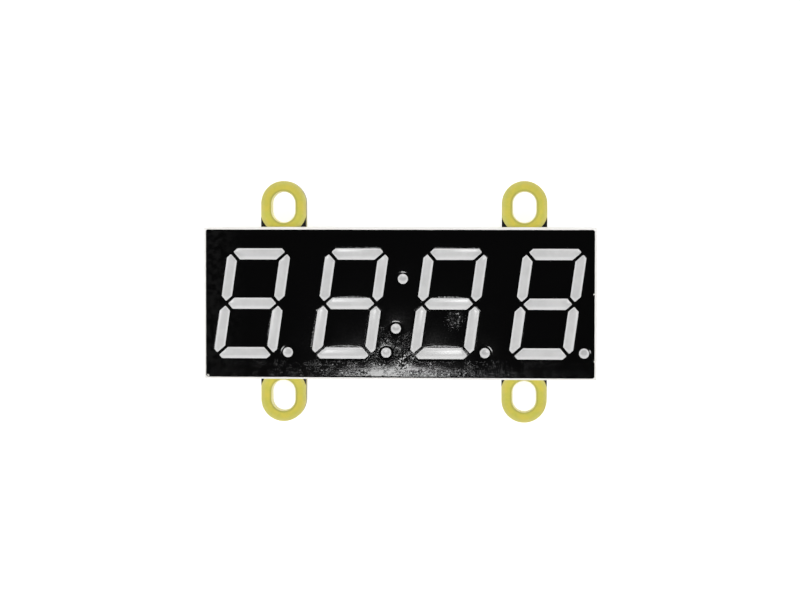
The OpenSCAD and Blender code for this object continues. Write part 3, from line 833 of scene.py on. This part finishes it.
# %% Clouds: a slow change from one part of a surface to another
clouds, given, give = new_group("clouds", {"Place": None, "Size": 4.0, "Sharpness": 0.15}, ["Mask"])
per_mm = maths(clouds, "DIVIDE", 1.0, given["Size"])
slow = add(clouds, "TexNoise", Vector=given["Place"], Scale=per_mm, Detail=4.0, Roughness=0.55).outputs[0]
low_end = minus(clouds, 0.5, given["Sharpness"])
high_end = summed(clouds, 0.5, given["Sharpness"])
finish_group(clouds, ramp(clouds, slow, low_end, high_end), give["Mask"])

# %% Facets: small flat patches, each tilted its own way
facets, given, give = new_group("facets", {"Place": None, "Size": 0.25}, ["Height"])
per_mm = maths(facets, "DIVIDE", 1.0, given["Size"])
tile = add(facets, "TexVoronoi", Vector=given["Place"], Scale=per_mm)
tilt = vector_maths(facets, "SUBTRACT", tile.outputs["Color"], (0.5, 0.5, 0.5))
centre = scaled(facets, tile.outputs["Position"], per_mm)
arm = vector_maths(facets, "SUBTRACT", scaled(facets, given["Place"], per_mm), centre)
finish_group(facets, vector_maths(facets, "DOT_PRODUCT", arm, tilt), give["Height"])

# %% Scratches: thin lines where a stretched noise crosses its middle
scratches, given, give = new_group(
    "scratches", {"Place": None, "Turn": 0.5, "Length": 6.0, "Width": 0.006}, ["Mask"])
turned = add(scratches, "VectorRotate", {"rotation_type": "Z_AXIS"}, Vector=given["Place"],
             Angle=given["Turn"]).outputs[0]
stretch = joined(scratches, maths(scratches, "DIVIDE", 1.0, given["Length"]), 1.0, 1.0)
drawn = vector_maths(scratches, "MULTIPLY", turned, stretch)
wave = add(scratches, "TexNoise", Vector=drawn, Scale=0.9, Detail=1.0).outputs[0]
line = ramp(scratches, maths(scratches, "ABSOLUTE", minus(scratches, wave, 0.5)), given["Width"], 0.0)
patches = add(scratches, "TexNoise", Vector=given["Place"], Scale=0.35, Detail=2.0).outputs[0]
finish_group(scratches, product(scratches, line, ramp(scratches, patches, 0.52, 0.6)), give["Mask"])

# %% [markdown]
# ## Finishes
# One material for each slot of the record, worn by the CAD nodes and the new pieces of that slot
# alike. Colours are written in linear light, as the shader reads them. A finish works out its
# colour, its roughness and its height, and keep_finish links the three to the shader.

# %% Start and end of a finish
finishes = {}


def rgb(r, g, b):
    return (r, g, b, 1.0)


def grey(level):
    return rgb(level, level, level)


def new_finish(name, **shader_values):
    """A material with its shader's constants set, and the place on the piece in millimetres."""
    material = bpy.data.materials.new(name)
    material.use_nodes = True
    tree = material.node_tree
    fill(tree, tree.nodes["Principled BSDF"], shader_values)
    return material, tree, scaled(tree, add(tree, "TexCoord").outputs["Object"], 1 / MM)


def keep_finish(slot, material, colour, roughness, height, relief):
    """Links a colour and a roughness to the shader, and a height in parts of relief metres, and
    files the material under its slot."""
    tree = material.node_tree
    normal = add(tree, "Bump", Height=height, Distance=relief).outputs[0]
    look = {"Base_Color": colour, "Roughness": roughness, "Normal": normal}
    fill(tree, tree.nodes["Principled BSDF"], look)
    finishes[slot] = material
    print(f"{slot}: {material.name}, {len(tree.nodes)} nodes")


def carried(tree, name):
    """A value that the piece's points carry."""
    return add(tree, "Attribute", {"attribute_name": name}).outputs["Fac"]

# %% [markdown]
# The face is screen-printed with a semi-gloss ink. Its surface has the sandy grain of the ink and
# slow waves from the squeegee, so a lamp's image in it breaks into mottled patches. A few flakes
# are missing at the edge, where the white moulding shows. At the middle of the lower edge the
# print is worn to a sandy surface, whose small facets each catch the lamp in their own way. The
# worn area is made of round spots of several sizes, the strongest of which counts at each place,
# so its outline is uneven and each part of it can be set by itself.

# %% Printed black ink: chips, dust and a painted pale reflection on the left
material, tree, place = new_finish("printed_black", Specular_IOR_Level=0.5)
CHIPS = [(-24.8, -9.27, 0.13), (24.98, -7.3, 0.12), (25.0, 1.3, 0.1)]  # x, y, radius
CHIP_RAG = 0.09
REFLECTION_FROM, REFLECTION_FULL = -19.0, -25.3
ink_grain = use(tree, grain, Place=place, Size=0.22)
coarse = use(tree, grain, Place=place, Size=0.75)


def from_spot(x, y):
    """Distance from a spot of the face."""
    return vector_maths(tree, "DISTANCE", place, (x, y, FACE_TOP))


def chip(x, y, radius):
    """A spot whose distance is made ragged by the grain."""
    rag = ramp(tree, ink_grain, 0.35, 0.65, -CHIP_RAG, CHIP_RAG)
    return ramp(tree, summed(tree, from_spot(x, y), rag), radius, radius * 0.8)


chips = chip(*CHIPS[0])
for spot in CHIPS[1:]:
    chips = maths(tree, "MAXIMUM", chips, chip(*spot))
dust = use(tree, flecks, Place=place, Spacing=0.9, Radius=0.05, Share=0.25)
dust = product(tree, dust, use(tree, clouds, Place=place, Size=5.0, Sharpness=0.2))
along_face, up_face, _ = parted(tree, place)
# Painted reflection: the ink is lighter in patches towards its left end.
left_side = ramp(tree, along_face, REFLECTION_FROM, REFLECTION_FULL)
painted_reflection = product(tree, left_side, ramp(tree, coarse, 0.4, 0.62))
ink = mixed(tree, product(tree, painted_reflection, 0.5), rgb(0.0024, 0.0024, 0.0025), grey(0.014))
ink = mixed(tree, product(tree, dust, 0.35), ink, grey(0.05))
ink = mixed(tree, chips, ink, rgb(0.72, 0.7, 0.66))
print("chips:", len(CHIPS))

# %% Printed black ink: where it is worn to a sandy surface
WORN_SPOTS = [(-0.4, -5.8, 2.6), (7.0, -2.2, 1.6), (-1.9, -4.2, 1.6),  # x, y, reach
              (0.8, -7.4, 2.6), (2.0, -4.2, 1.3), (-3.4, -6.9, 2.2)]
PATCHES = [(-1.4, -6.8, 4.4, 0.45), (-0.5, -7.7, 5.5, 0.5),  # x, y, reach, strength
           (7.2, -2.1, 2.2, 1.3)]
SMEARS = [(1.35, -5.9, 0.7, 0.9), (0.95, -6.8, 0.9, 0.9), (0.4, -7.7, 1.0, 0.9),
          (7.2, -1.8, 1.5, 1.5)]
SPOT_CORE, SMEAR_CORE = 0.5, 0.4  # share of the reach that is at full strength
WORN_BELOW, WORN_FULL = -7.15, -7.6  # all of the face under this height is worn
# A line across the face that is less worn: how far it lies below the middle, and its half width
LINE_BELOW, LINE_HALF, LINE_CORE, LINE_LESS = 8.3, 0.35, 0.1, 0.6


def face_spot(x, y, reach, core, strength=1.0):
    """A round spot: strength up to core parts of its reach, and nothing beyond its reach."""
    return ramp(tree, from_spot(x, y), reach, core * reach, 0.0, strength)


bands = ramp(tree, use(tree, grain, Place=place, Size=0.9, Stretch=9.0), 0.42, 0.56)
for x, y, reach, strength in PATCHES:
    bands = maths(tree, "MAXIMUM", bands, face_spot(x, y, reach, SPOT_CORE, strength))
worn = ramp(tree, up_face, WORN_BELOW, WORN_FULL)
for x, y, reach in WORN_SPOTS:
    worn = maths(tree, "MAXIMUM", worn, face_spot(x, y, reach, SPOT_CORE))
mottled = use(tree, clouds, Place=place, Size=1.2, Sharpness=0.12)
sandy = product(tree, product(tree, mottled, bands), worn)
off_line = maths(tree, "ABSOLUTE", summed(tree, up_face, LINE_BELOW))
thin_line = ramp(tree, off_line, LINE_HALF, LINE_CORE)
sandy = product(tree, sandy, maths(tree, "MULTIPLY_ADD", thin_line, -LINE_LESS, 1.0))
for x, y, reach, strength in SMEARS:
    sandy = maths(tree, "MAXIMUM", sandy, face_spot(x, y, reach, SMEAR_CORE, strength))
print("worn spots:", len(WORN_SPOTS) + len(PATCHES) + len(SMEARS))

# %% Printed black ink: gloss and relief
RUBBED_MATT = 0.05  # roughness that the last smear adds
INK_RELIEF = 1.4e-6
# Heights in parts of INK_RELIEF
SAND, LIP_GRAIN, COARSE, SWELL, STREAKS = 7.0, 8.0, 0.8, 1.0, 0.8
waves = use(tree, clouds, Place=place, Size=2.6, Sharpness=0.25)
rough = ramp(tree, waves, 0.0, 1.0, 0.05, 0.06, smooth=False)
rubbed = face_spot(*SMEARS[-1][:3], SMEAR_CORE, RUBBED_MATT)
rough = summed(tree, rough, by_noise(tree, ink_grain, -0.005, 0.015), rubbed)
sand = use(tree, facets, Place=place, Size=0.2)
lip_grain = product(tree, use(tree, grain, Place=place, Size=0.3), carried(tree, "on_a_lip"))
swell = use(tree, grain, Place=place, Size=5.0)
streaks = use(tree, grain, Place=place, Size=1.2, Stretch=6.0)
height = summed(tree, product(tree, sand, product(tree, sandy, SAND)),
                product(tree, lip_grain, LIP_GRAIN), product(tree, coarse, COARSE),
                product(tree, swell, SWELL), product(tree, streaks, STREAKS))
keep_finish("face_ink", material, ink, rough, height, INK_RELIEF)

# %% White moulded plastic
material, tree, place = new_finish("white_moulded_plastic", Specular_IOR_Level=0.4)
mould_grain = use(tree, grain, Place=place, Size=0.12)
tone = use(tree, clouds, Place=place, Size=6.0, Sharpness=0.25)
specks = use(tree, flecks, Place=place, Spacing=1.6, Radius=0.035, Share=0.12)
white = mixed(tree, tone, rgb(0.93, 0.92, 0.9), rgb(0.9, 0.885, 0.85))
white = mixed(tree, product(tree, specks, 0.5), white, rgb(0.3, 0.27, 0.23))
rough = by_noise(tree, mould_grain, 0.38, 0.5)
keep_finish("white_moulding", material, white, rough, mould_grain, 2e-6)

# %% [markdown]
# The resin is milky: light from the LED spreads all through it, and unlit it is an even pale grey.
# By the wall it is thin over white plastic and looks lighter, and on a guide's lower side the rim
# is painted lighter still, as painted light. The dots are painted darker, as painted shade in their
# narrow cavities. The resin also sags a little from end to end of a segment. That is part of the
# relief, because the walls have points only at their corners.

# %% Milky resin
RESIN_RELIEF = 0.8e-6
LONG_SAG = 0.0048  # rise in millimetres, for each square millimetre of the distance along
material, tree, place = new_finish("milky_resin", Specular_IOR_Level=0.6)
milk = use(tree, clouds, Place=place, Size=1.4, Sharpness=0.2)
fine_milk = use(tree, grain, Place=place, Size=0.12)
resin = mixed(tree, milk, grey(0.6), grey(0.66))
# Dots painted darker: painted shade in their narrow cavities.
painted_shade_resin = mixed(tree, milk, grey(0.47), grey(0.53))
resin = mixed(tree, carried(tree, "painted_dot_shade"), resin, painted_shade_resin)
# Rim paler where the white wall shows through, and painted light on the lower side.
resin = mixed(tree, carried(tree, "pale_rim_and_painted_light"), resin, grey(0.93))
along = carried(tree, "along_guide")
sag = product(tree, product(tree, along, along), LONG_SAG * MM / RESIN_RELIEF)
rough = by_noise(tree, fine_milk, 0.11, 0.15)
keep_finish("guide_resin", material, resin, rough, summed(tree, fine_milk, sag), RESIN_RELIEF)

# %% [markdown]
# The lugs are plated with thin gold over nickel, slightly matt, and paler towards the outer
# edge of the pad. Near the slot the gold is painted darker and olive as painted shade, and the
# roll and lining in the slot are painted lighter as painted light.

# %% Gold on the lugs
# Shares of the way from the slot to the outer edge, where each tint starts and is full
PALE, SLOT_PAINTED_SHADE, SLOT_PAINTED_LIGHT = (0.55, 0.97), (0.34, 0.04), (0.03, 0.0)
material, tree, place = new_finish("lug_gold_plate", Metallic=0.4, Specular_IOR_Level=0.5)
across = carried(tree, "towards_edge")
tarnish = use(tree, clouds, Place=place, Size=1.3, Sharpness=0.2)
plate_grain = use(tree, grain, Place=place, Size=0.14)
pits = use(tree, flecks, Place=place, Spacing=0.5, Radius=0.04, Share=0.2)
gold = mixed(tree, tarnish, rgb(0.95, 0.82, 0.135), rgb(0.79, 0.755, 0.13))
gold = mixed(tree, product(tree, ramp(tree, across, *PALE), 0.45), gold, rgb(0.85, 0.8, 0.38))
# Painted shade: a darker olive band by the slot.
gold = mixed(tree, product(tree, ramp(tree, across, *SLOT_PAINTED_SHADE), 0.6), gold, rgb(0.5, 0.48, 0.12))
# Painted light: the roll and lining in the slot lighter.
gold = mixed(tree, ramp(tree, across, *SLOT_PAINTED_LIGHT), gold, rgb(0.95, 0.9, 0.5))
gold = mixed(tree, product(tree, pits, 0.35), gold, rgb(0.3, 0.27, 0.07))
rough = ramp(tree, tarnish, 0.0, 1.0, 0.42, 0.56)
keep_finish("lug_gold", material, gold, rough, plate_grain, 4e-6)

# %% [markdown]
# The board's black solder mask lies over the copper, so tracks show only as low ridges with soft
# sides. Copper fills the rest of the back as a pour, which keeps clear of the tracks and of the
# board's edge, and rows of small plated holes (vias) stitch it to the front. The cut edge of the
# board is bare glass fibre, in thin layers. Which of the two shows depends on whether the surface
# faces up or down, or sideways.

# %% A bundle of parallel tracks, as the distance to the nearest of them
bundle, given, give = new_group("track_bundle", {
    "Place": None, "Middle": None, "Turn": 0.0, "Length": 2.0, "Pitch": 2.54, "Count": 4.0}, ["Distance"])
arm = vector_maths(bundle, "SUBTRACT", given["Place"], given["Middle"])
turned = add(bundle, "VectorRotate", {"rotation_type": "Z_AXIS"}, Vector=arm, Angle=given["Turn"])
along, across, _ = parted(bundle, turned.outputs[0])
last = minus(bundle, given["Count"], 1.0)
first_at = product(bundle, last, -0.5)
in_pitches = maths(bundle, "DIVIDE", across, given["Pitch"])
number = maths(bundle, "ROUND", minus(bundle, in_pitches, first_at))
number = maths(bundle, "MINIMUM", maths(bundle, "MAXIMUM", number, 0.0), last)
track_at = product(bundle, summed(bundle, number, first_at), given["Pitch"])
beyond = maths(bundle, "MULTIPLY_ADD", given["Length"], -0.5, maths(bundle, "ABSOLUTE", along))
off_track = joined(bundle, minus(bundle, across, track_at), maths(bundle, "MAXIMUM", beyond, 0.0))
finish_group(bundle, vector_maths(bundle, "LENGTH", off_track), give["Distance"])

# %% Copper under the solder mask: tracks, and the pour round them
TRACK_HALF, CLEAR, SOFT = 0.16, 0.24, 0.06
LEAD_JOG = 0.445  # from a lead to the pin that it drives, along the board
JOG_START, JOG_END = 6.9, 6.45
HALF_BOARD, POUR_INSET = (25.1, 9.1), 0.35
FAR = 9.0
material, tree, place = new_finish("black_solder_mask", Specular_IOR_Level=0.5)
along, across, _ = parted(tree, place)
out_x, out_y = (maths(tree, "ABSOLUTE", way) for way in (along, across))
jog = ramp(tree, out_y, JOG_START, JOG_END, 0.0, LEAD_JOG, smooth=False)
folded = joined(tree, summed(tree, along, jog), out_y)
flat = joined(tree, along, across)
BUNDLES = [(folded, (2.54, 6.2, 0.0), np.pi / 2, 2.4, 2.54, 4),
           (folded, (-5.08, 6.3, 0.0), np.pi / 2, 1.5, 2.54, 2),
           (flat, (-11.1, 0.0, 0.0), 0.0, 3.4, 2.54, 4), (flat, (-5.0, -0.45, 0.0), 0.0, 5.0, 1.95, 5)]
nearest = FAR
for where, middle, turn, length, pitch, count in BUNDLES:
    one = use(tree, bundle, Place=where, Middle=middle, Turn=turn, Length=length, Pitch=pitch,
              Count=count)
    nearest = maths(tree, "MINIMUM", one, nearest)
past_x, past_y = (minus(tree, out, half) for out, half in zip((out_x, out_y), HALF_BOARD))
past_edge = maths(tree, "MAXIMUM", past_x, past_y)
clear_of_edge = ramp(tree, past_edge, -POUR_INSET, -POUR_INSET - 0.1)
clear_of_tracks = ramp(tree, nearest, TRACK_HALF + CLEAR, TRACK_HALF + CLEAR + SOFT)
pour = maths(tree, "MINIMUM", clear_of_edge, clear_of_tracks)
copper = maths(tree, "MAXIMUM", pour, ramp(tree, nearest, TRACK_HALF + SOFT, TRACK_HALF))
print("tracks:", sum(bundle_of[-1] for bundle_of in BUNDLES))

# %% Vias that stitch the pour to the front
VIA_PITCH, VIA_ROW, FIRST_VIA = 5.08, 6.3, 10.5
VIA_HOLE, VIA_CORE = 0.22, 0.14
RING_R, RING_HALF, RING_CORE = 0.32, 0.12, 0.06
FACING = 0.5  # a surface faces down or up if its normal leans less than 60 degrees from there
facing = parted(tree, add(tree, "TexCoord").outputs["Normal"])[2]
downwards = maths(tree, "LESS_THAN", facing, -FACING)
off_grid = minus(tree, maths(tree, "MODULO", out_x, VIA_PITCH), VIA_PITCH / 2)
off_via = joined(tree, maths(tree, "ABSOLUTE", off_grid), minus(tree, out_y, VIA_ROW))
off_via = vector_maths(tree, "LENGTH", off_via)
stitched = product(tree, maths(tree, "GREATER_THAN", out_x, FIRST_VIA), downwards)
via = product(tree, ramp(tree, off_via, VIA_HOLE, VIA_CORE), stitched)
off_ring = maths(tree, "ABSOLUTE", minus(tree, off_via, RING_R))
via_ring = product(tree, ramp(tree, off_ring, RING_HALF, RING_CORE), stitched)
print("vias every", VIA_PITCH, "mm from", FIRST_VIA, "mm")

# %% Black solder mask over the copper, and glass fibre at the cut edge
# Heights in parts of BOARD_RELIEF
BOARD_RELIEF, COPPER_RISE, VIA_FALL, FIBRE_RISE = 4e-6, 13.0, -11.0, 5.0
copper = product(tree, copper, downwards)
cut_edge = maths(tree, "LESS_THAN", maths(tree, "ABSOLUTE", facing), FACING)
mask_grain = use(tree, grain, Place=place, Size=0.35)
lint = use(tree, flecks, Place=place, Spacing=1.3, Radius=0.05, Share=0.2)
mask_black = mixed(tree, copper, rgb(0.004, 0.004, 0.0045), rgb(0.02, 0.0195, 0.019))
mask_black = mixed(tree, via_ring, mask_black, rgb(0.034, 0.033, 0.031))
# The middle of each via is painted near black: painted shade in its hole.
mask_black = mixed(tree, via, mask_black, grey(0.001))
mask_black = mixed(tree, product(tree, lint, 0.4), mask_black, grey(0.08))
layers = vector_maths(tree, "MULTIPLY", place, (0.5, 0.5, 9.0))
fibre = add(tree, "TexNoise", Vector=layers, Scale=1.6, Detail=4.0).outputs[0]
fibre_tone = ramp(tree, fibre, 0.35, 0.65)
fibre_colour = mixed(tree, fibre_tone, rgb(0.42, 0.38, 0.2), rgb(0.6, 0.56, 0.34))
board_colour = mixed(tree, cut_edge, mask_black, fibre_colour)
rough = summed(tree, by_noise(tree, mask_grain, 0.24, 0.32), product(tree, cut_edge, 0.4))
height = maths(tree, "MULTIPLY_ADD", copper, COPPER_RISE, mask_grain)
height = maths(tree, "MULTIPLY_ADD", via, VIA_FALL, height)
height = maths(tree, "MULTIPLY_ADD", product(tree, fibre, cut_edge), FIBRE_RISE, height)
keep_finish("solder_mask", material, board_colour, rough, height, BOARD_RELIEF)

# %% [markdown]
# Metals on the back: tinned leads and pins are bright but brushed by handling, and solder is
# smooth with a faint frost. The header's gold is brighter than the lugs'.

# %% Tinned metal, solder and header gold
def metal(slot, name, colour, dull, rough_low, rough_high, relief):
    """A metal whose colour and roughness drift between two values, with a fine relief."""
    material, tree, place = new_finish(name, Metallic=1.0)
    drift = use(tree, clouds, Place=place, Size=0.9, Sharpness=0.25)
    rub = use(tree, grain, Place=place, Size=0.09, Stretch=0.2)
    marks = use(tree, scratches, Place=place, Turn=0.9, Length=8.0, Width=0.01)
    rough = ramp(tree, drift, 0.0, 1.0, rough_low, rough_high)
    rough = summed(tree, rough, product(tree, marks, 0.15))
    shade = mixed(tree, drift, colour, dull)
    keep_finish(slot, material, shade, rough, summed(tree, rub, marks), relief)


metal("tinned_metal", "tinned_metal", grey(0.66), grey(0.5), 0.22, 0.36, 2e-6)
metal("solder", "frosted_solder", rgb(0.62, 0.63, 0.65), rgb(0.5, 0.51, 0.53), 0.2, 0.4, 4e-6)
metal("header_gold", "header_gold", rgb(0.8, 0.58, 0.22), rgb(0.68, 0.47, 0.16), 0.2, 0.32, 2e-6)

# %% [markdown]
# Black plastics: the chip's package is epoxy filled with glass, matt with a fine even grain, and
# the header's base is nylon, a little glossier, with sink marks.

# %% Black plastics
def black_plastic(slot, name, colour, rough_low, rough_high, size, relief):
    """A dark plastic with grain of one size, small pale dust and slow changes of gloss."""
    material, tree, place = new_finish(name, Specular_IOR_Level=0.4)
    fine = use(tree, grain, Place=place, Size=size)
    drift = use(tree, clouds, Place=place, Size=2.5, Sharpness=0.25)
    lint = use(tree, flecks, Place=place, Spacing=0.8, Radius=0.03, Share=0.2)
    lighter = rgb(*(2.0 * c for c in colour[:3]))
    shade = mixed(tree, product(tree, drift, 0.6), colour, lighter)
    shade = mixed(tree, product(tree, lint, 0.4), shade, grey(0.12))
    rough = ramp(tree, drift, 0.0, 1.0, rough_low, rough_high)
    keep_finish(slot, material, shade, rough, fine, relief)


black_plastic("chip_package", "chip_epoxy", rgb(0.013, 0.013, 0.014), 0.5, 0.62, 0.07, 5e-6)
black_plastic("header_plastic", "header_nylon", grey(0.009), 0.34, 0.46, 0.1, 3e-6)

# %% [markdown]
# The last finishes are mostly out of sight: the LED board and the resin behind it, the dice, and
# the fired ceramics on the back. They are kept as careful as the rest, but simple.

# %% Boards, resins and ceramics
def plain_finish(slot, name, colour, other, roughness, size, relief, speck=0.3):
    """A solid material with two tones, grain and a few dark specks."""
    material, tree, place = new_finish(name, Specular_IOR_Level=0.4)
    tone = use(tree, clouds, Place=place, Size=size * 8, Sharpness=0.2)
    fine = use(tree, grain, Place=place, Size=size)
    spots = use(tree, flecks, Place=place, Spacing=size * 6, Radius=size * 0.4, Share=0.2)
    shade = mixed(tree, tone, colour, other)
    shade = mixed(tree, product(tree, spots, speck), shade, rgb(0.08, 0.07, 0.06))
    rough = by_noise(tree, fine, roughness - 0.05, roughness + 0.05)
    keep_finish(slot, material, shade, rough, fine, relief)


# slot, name, two colours, roughness, size of the grain, relief, strength of the specks
PLAIN = [("led_board", "bare_led_board", (0.58, 0.53, 0.34), (0.5, 0.46, 0.29), 0.5, 0.3, 4e-6),
         ("led_die", "led_dice", (0.35, 0.05, 0.04), (0.25, 0.04, 0.03), 0.25, 0.05, 1e-6),
         ("back_resin", "back_resin", (0.66, 0.63, 0.52), (0.6, 0.57, 0.46), 0.35, 0.4, 6e-6, 0.15),
         ("capacitor_ceramic", "capacitor_ceramic", (0.38, 0.26, 0.14), (0.33, 0.22, 0.12),
          0.42, 0.1, 2e-6),
         ("resistor_film", "resistor_film", (0.012, 0.012, 0.013), (0.03, 0.03, 0.032),
          0.35, 0.12, 2e-6, 0.1)]
for slot, name, colour, other, *values in PLAIN:
    plain_finish(slot, name, rgb(*colour), rgb(*other), *values)

# %% Every node and piece wears its slot's finish
for name, node in NODES.items():
    node.data.materials.clear()
    node.data.materials.append(finishes[SLOT_OF[name]])
for piece in [o for o in bpy.data.objects if "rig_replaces" in o]:
    piece.data.materials.append(finishes[piece["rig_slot"]])
print("finishes:", len(finishes), "nodes hidden:", sum(n.hide_render for n in NODES.values()))

# %% [markdown]
# ## Table, light and camera
# The module lies on a pale table under even light from all sides, with a dark patch straight
# overhead, as in a light tent with an opening for the lens: a black glossy face mirrors that
# opening and stays black. One small lamp beside the opening gives the soft glow at the middle of
# the face's lower edge. Its place follows from the mirror rule: as far to the other side of the
# glow as the lens is to this side.
#
# In reflections the tent's lowest walls are dimmer, which keeps the face darker when it is seen
# from the side, though at a low angle it still mirrors enough of them to look grey. The table
# shows only its upper side, so the back can be looked at from below.

# %% Camera
FACE_MIDDLE = Vector((0.0, 0.0, FACE_TOP * MM))
LENS_DISTANCE = 0.325
LENS_PLACE = FACE_MIDDLE + Vector((0.0225, 0.0118, LENS_DISTANCE))
SENSOR, WIDE, PER_MM, ROLL_ANGLE = 36.0, 800, 7.805, 0.001
SHIFT_X, SHIFT_Y = 0.66, 3.8
way = FACE_MIDDLE - LENS_PLACE
camera_data = bpy.data.cameras.new("camera")
camera_data.sensor_width = SENSOR
camera_data.lens = PER_MM / MM * LENS_DISTANCE * SENSOR / WIDE
camera_data.shift_x, camera_data.shift_y = SHIFT_X / WIDE, SHIFT_Y / WIDE
camera = bpy.data.objects.new("camera", camera_data)
bpy.context.scene.collection.objects.link(camera)
back = -way.normalized()
right = Vector((0, 1, 0)).cross(back).normalized()
turn = Matrix((right, back.cross(right), back)).transposed().to_4x4()
camera.matrix_world = Matrix.Translation(LENS_PLACE) @ turn @ Matrix.Rotation(ROLL_ANGLE, 4, "Z")
bpy.context.scene.camera = camera
print("lens", round(camera_data.lens, 1), "mm at", round(way.length / MM), "mm")

# %% Lamp for the glow
LAMP_SIZE, LAMP_WATTS = 0.025, 0.0225
GLOW = Vector((-0.2, -15.0, FACE_TOP)) * MM
mirror = Vector((2 * GLOW.x - LENS_PLACE.x, 2 * GLOW.y - LENS_PLACE.y, LENS_PLACE.z))
lamp_data = bpy.data.lights.new("lamp", "AREA")
lamp_data.shape, lamp_data.size, lamp_data.energy = "DISK", LAMP_SIZE, LAMP_WATTS
lamp = bpy.data.objects.new("lamp", lamp_data)
bpy.context.scene.collection.objects.link(lamp)
aim = (GLOW - mirror).to_track_quat("-Z", "Y").to_matrix().to_4x4()
lamp.matrix_world = Matrix.Translation(mirror) @ aim
print("lamp at", [round(c / MM) for c in mirror], "mm")

# %% Light from all sides
DARK_TO, LIGHT_FROM = np.cos(np.radians((26, 42)))  # angles from straight overhead
TENT_LIGHT = 1.42
LOW_FROM, LOW_FULL, LOW_DIM = 0.7, 0.35, 0.68
world = bpy.data.worlds.new("light_tent")
bpy.context.scene.world = world
world.use_nodes = True
tree = world.node_tree
up = parted(tree, add(tree, "TexCoord").outputs["Generated"])[2]
tent = ramp(tree, up, DARK_TO, LIGHT_FROM)
rays = add(tree, "LightPath").outputs
low_wall = product(tree, rays["Is Glossy Ray"], ramp(tree, up, LOW_FROM, LOW_FULL, 0.0, LOW_DIM))
tent = product(tree, tent, maths(tree, "MULTIPLY_ADD", low_wall, -TENT_LIGHT, TENT_LIGHT))
seen = add(tree, "Mix", {"data_type": "FLOAT"}, in00=rays["Is Camera Ray"], in02=tent, in03=1.0)
fill(tree, tree.nodes["Background"], {"Strength": seen.outputs[0], "Color": grey(1)})
print("light tent:", len(tree.nodes), "nodes")

# %% Pale table
HALF_TABLE, TABLE_GAP = 3.0, 2e-5
TABLE_LIFT = 0.75  # light that the table adds where it is seen, so that it looks white
table = bpy.data.meshes.new("table")
corners = np.array([(-1, -1, 0), (1, -1, 0), (1, 1, 0), (-1, 1, 0)]) * HALF_TABLE - (0, 0, TABLE_GAP)
table.from_pydata(corners.tolist(), [], [(0, 1, 2, 3)])
floor = bpy.data.objects.new("table", table)
bpy.context.scene.collection.objects.link(floor)
material = bpy.data.materials.new("pale_table")
material.use_nodes = True
tree = material.node_tree
shader = tree.nodes["Principled BSDF"]
fill(tree, shader, {"Base_Color": grey(0.6), "Roughness": 0.9, "Specular_IOR_Level": 0.0})
paths = add(tree, "LightPath").outputs
mirrored = maths(tree, "MAXIMUM", paths["Is Glossy Ray"], paths["Is Transmission Ray"])
shown = maths(tree, "MAXIMUM", paths["Is Camera Ray"], mirrored)
lift = add(tree, "Emission", Color=grey(1), Strength=product(tree, shown, TABLE_LIFT)).outputs[0]
both = add(tree, "AddShader", in00=shader.outputs[0], in01=lift).outputs[0]
clear = add(tree, "BsdfTransparent").outputs[0]
under = add(tree, "NewGeometry").outputs["Backfacing"]
one_way = add(tree, "MixShader", in00=under, in01=both, in02=clear).outputs[0]
fill(tree, tree.nodes["Material Output"], {"Surface": one_way})
table.materials.append(material)
print("table:", 2 * HALF_TABLE, "m wide,", TABLE_GAP / MM, "mm under the part")

# %% View settings
bpy.context.scene.view_settings.view_transform = "Standard"
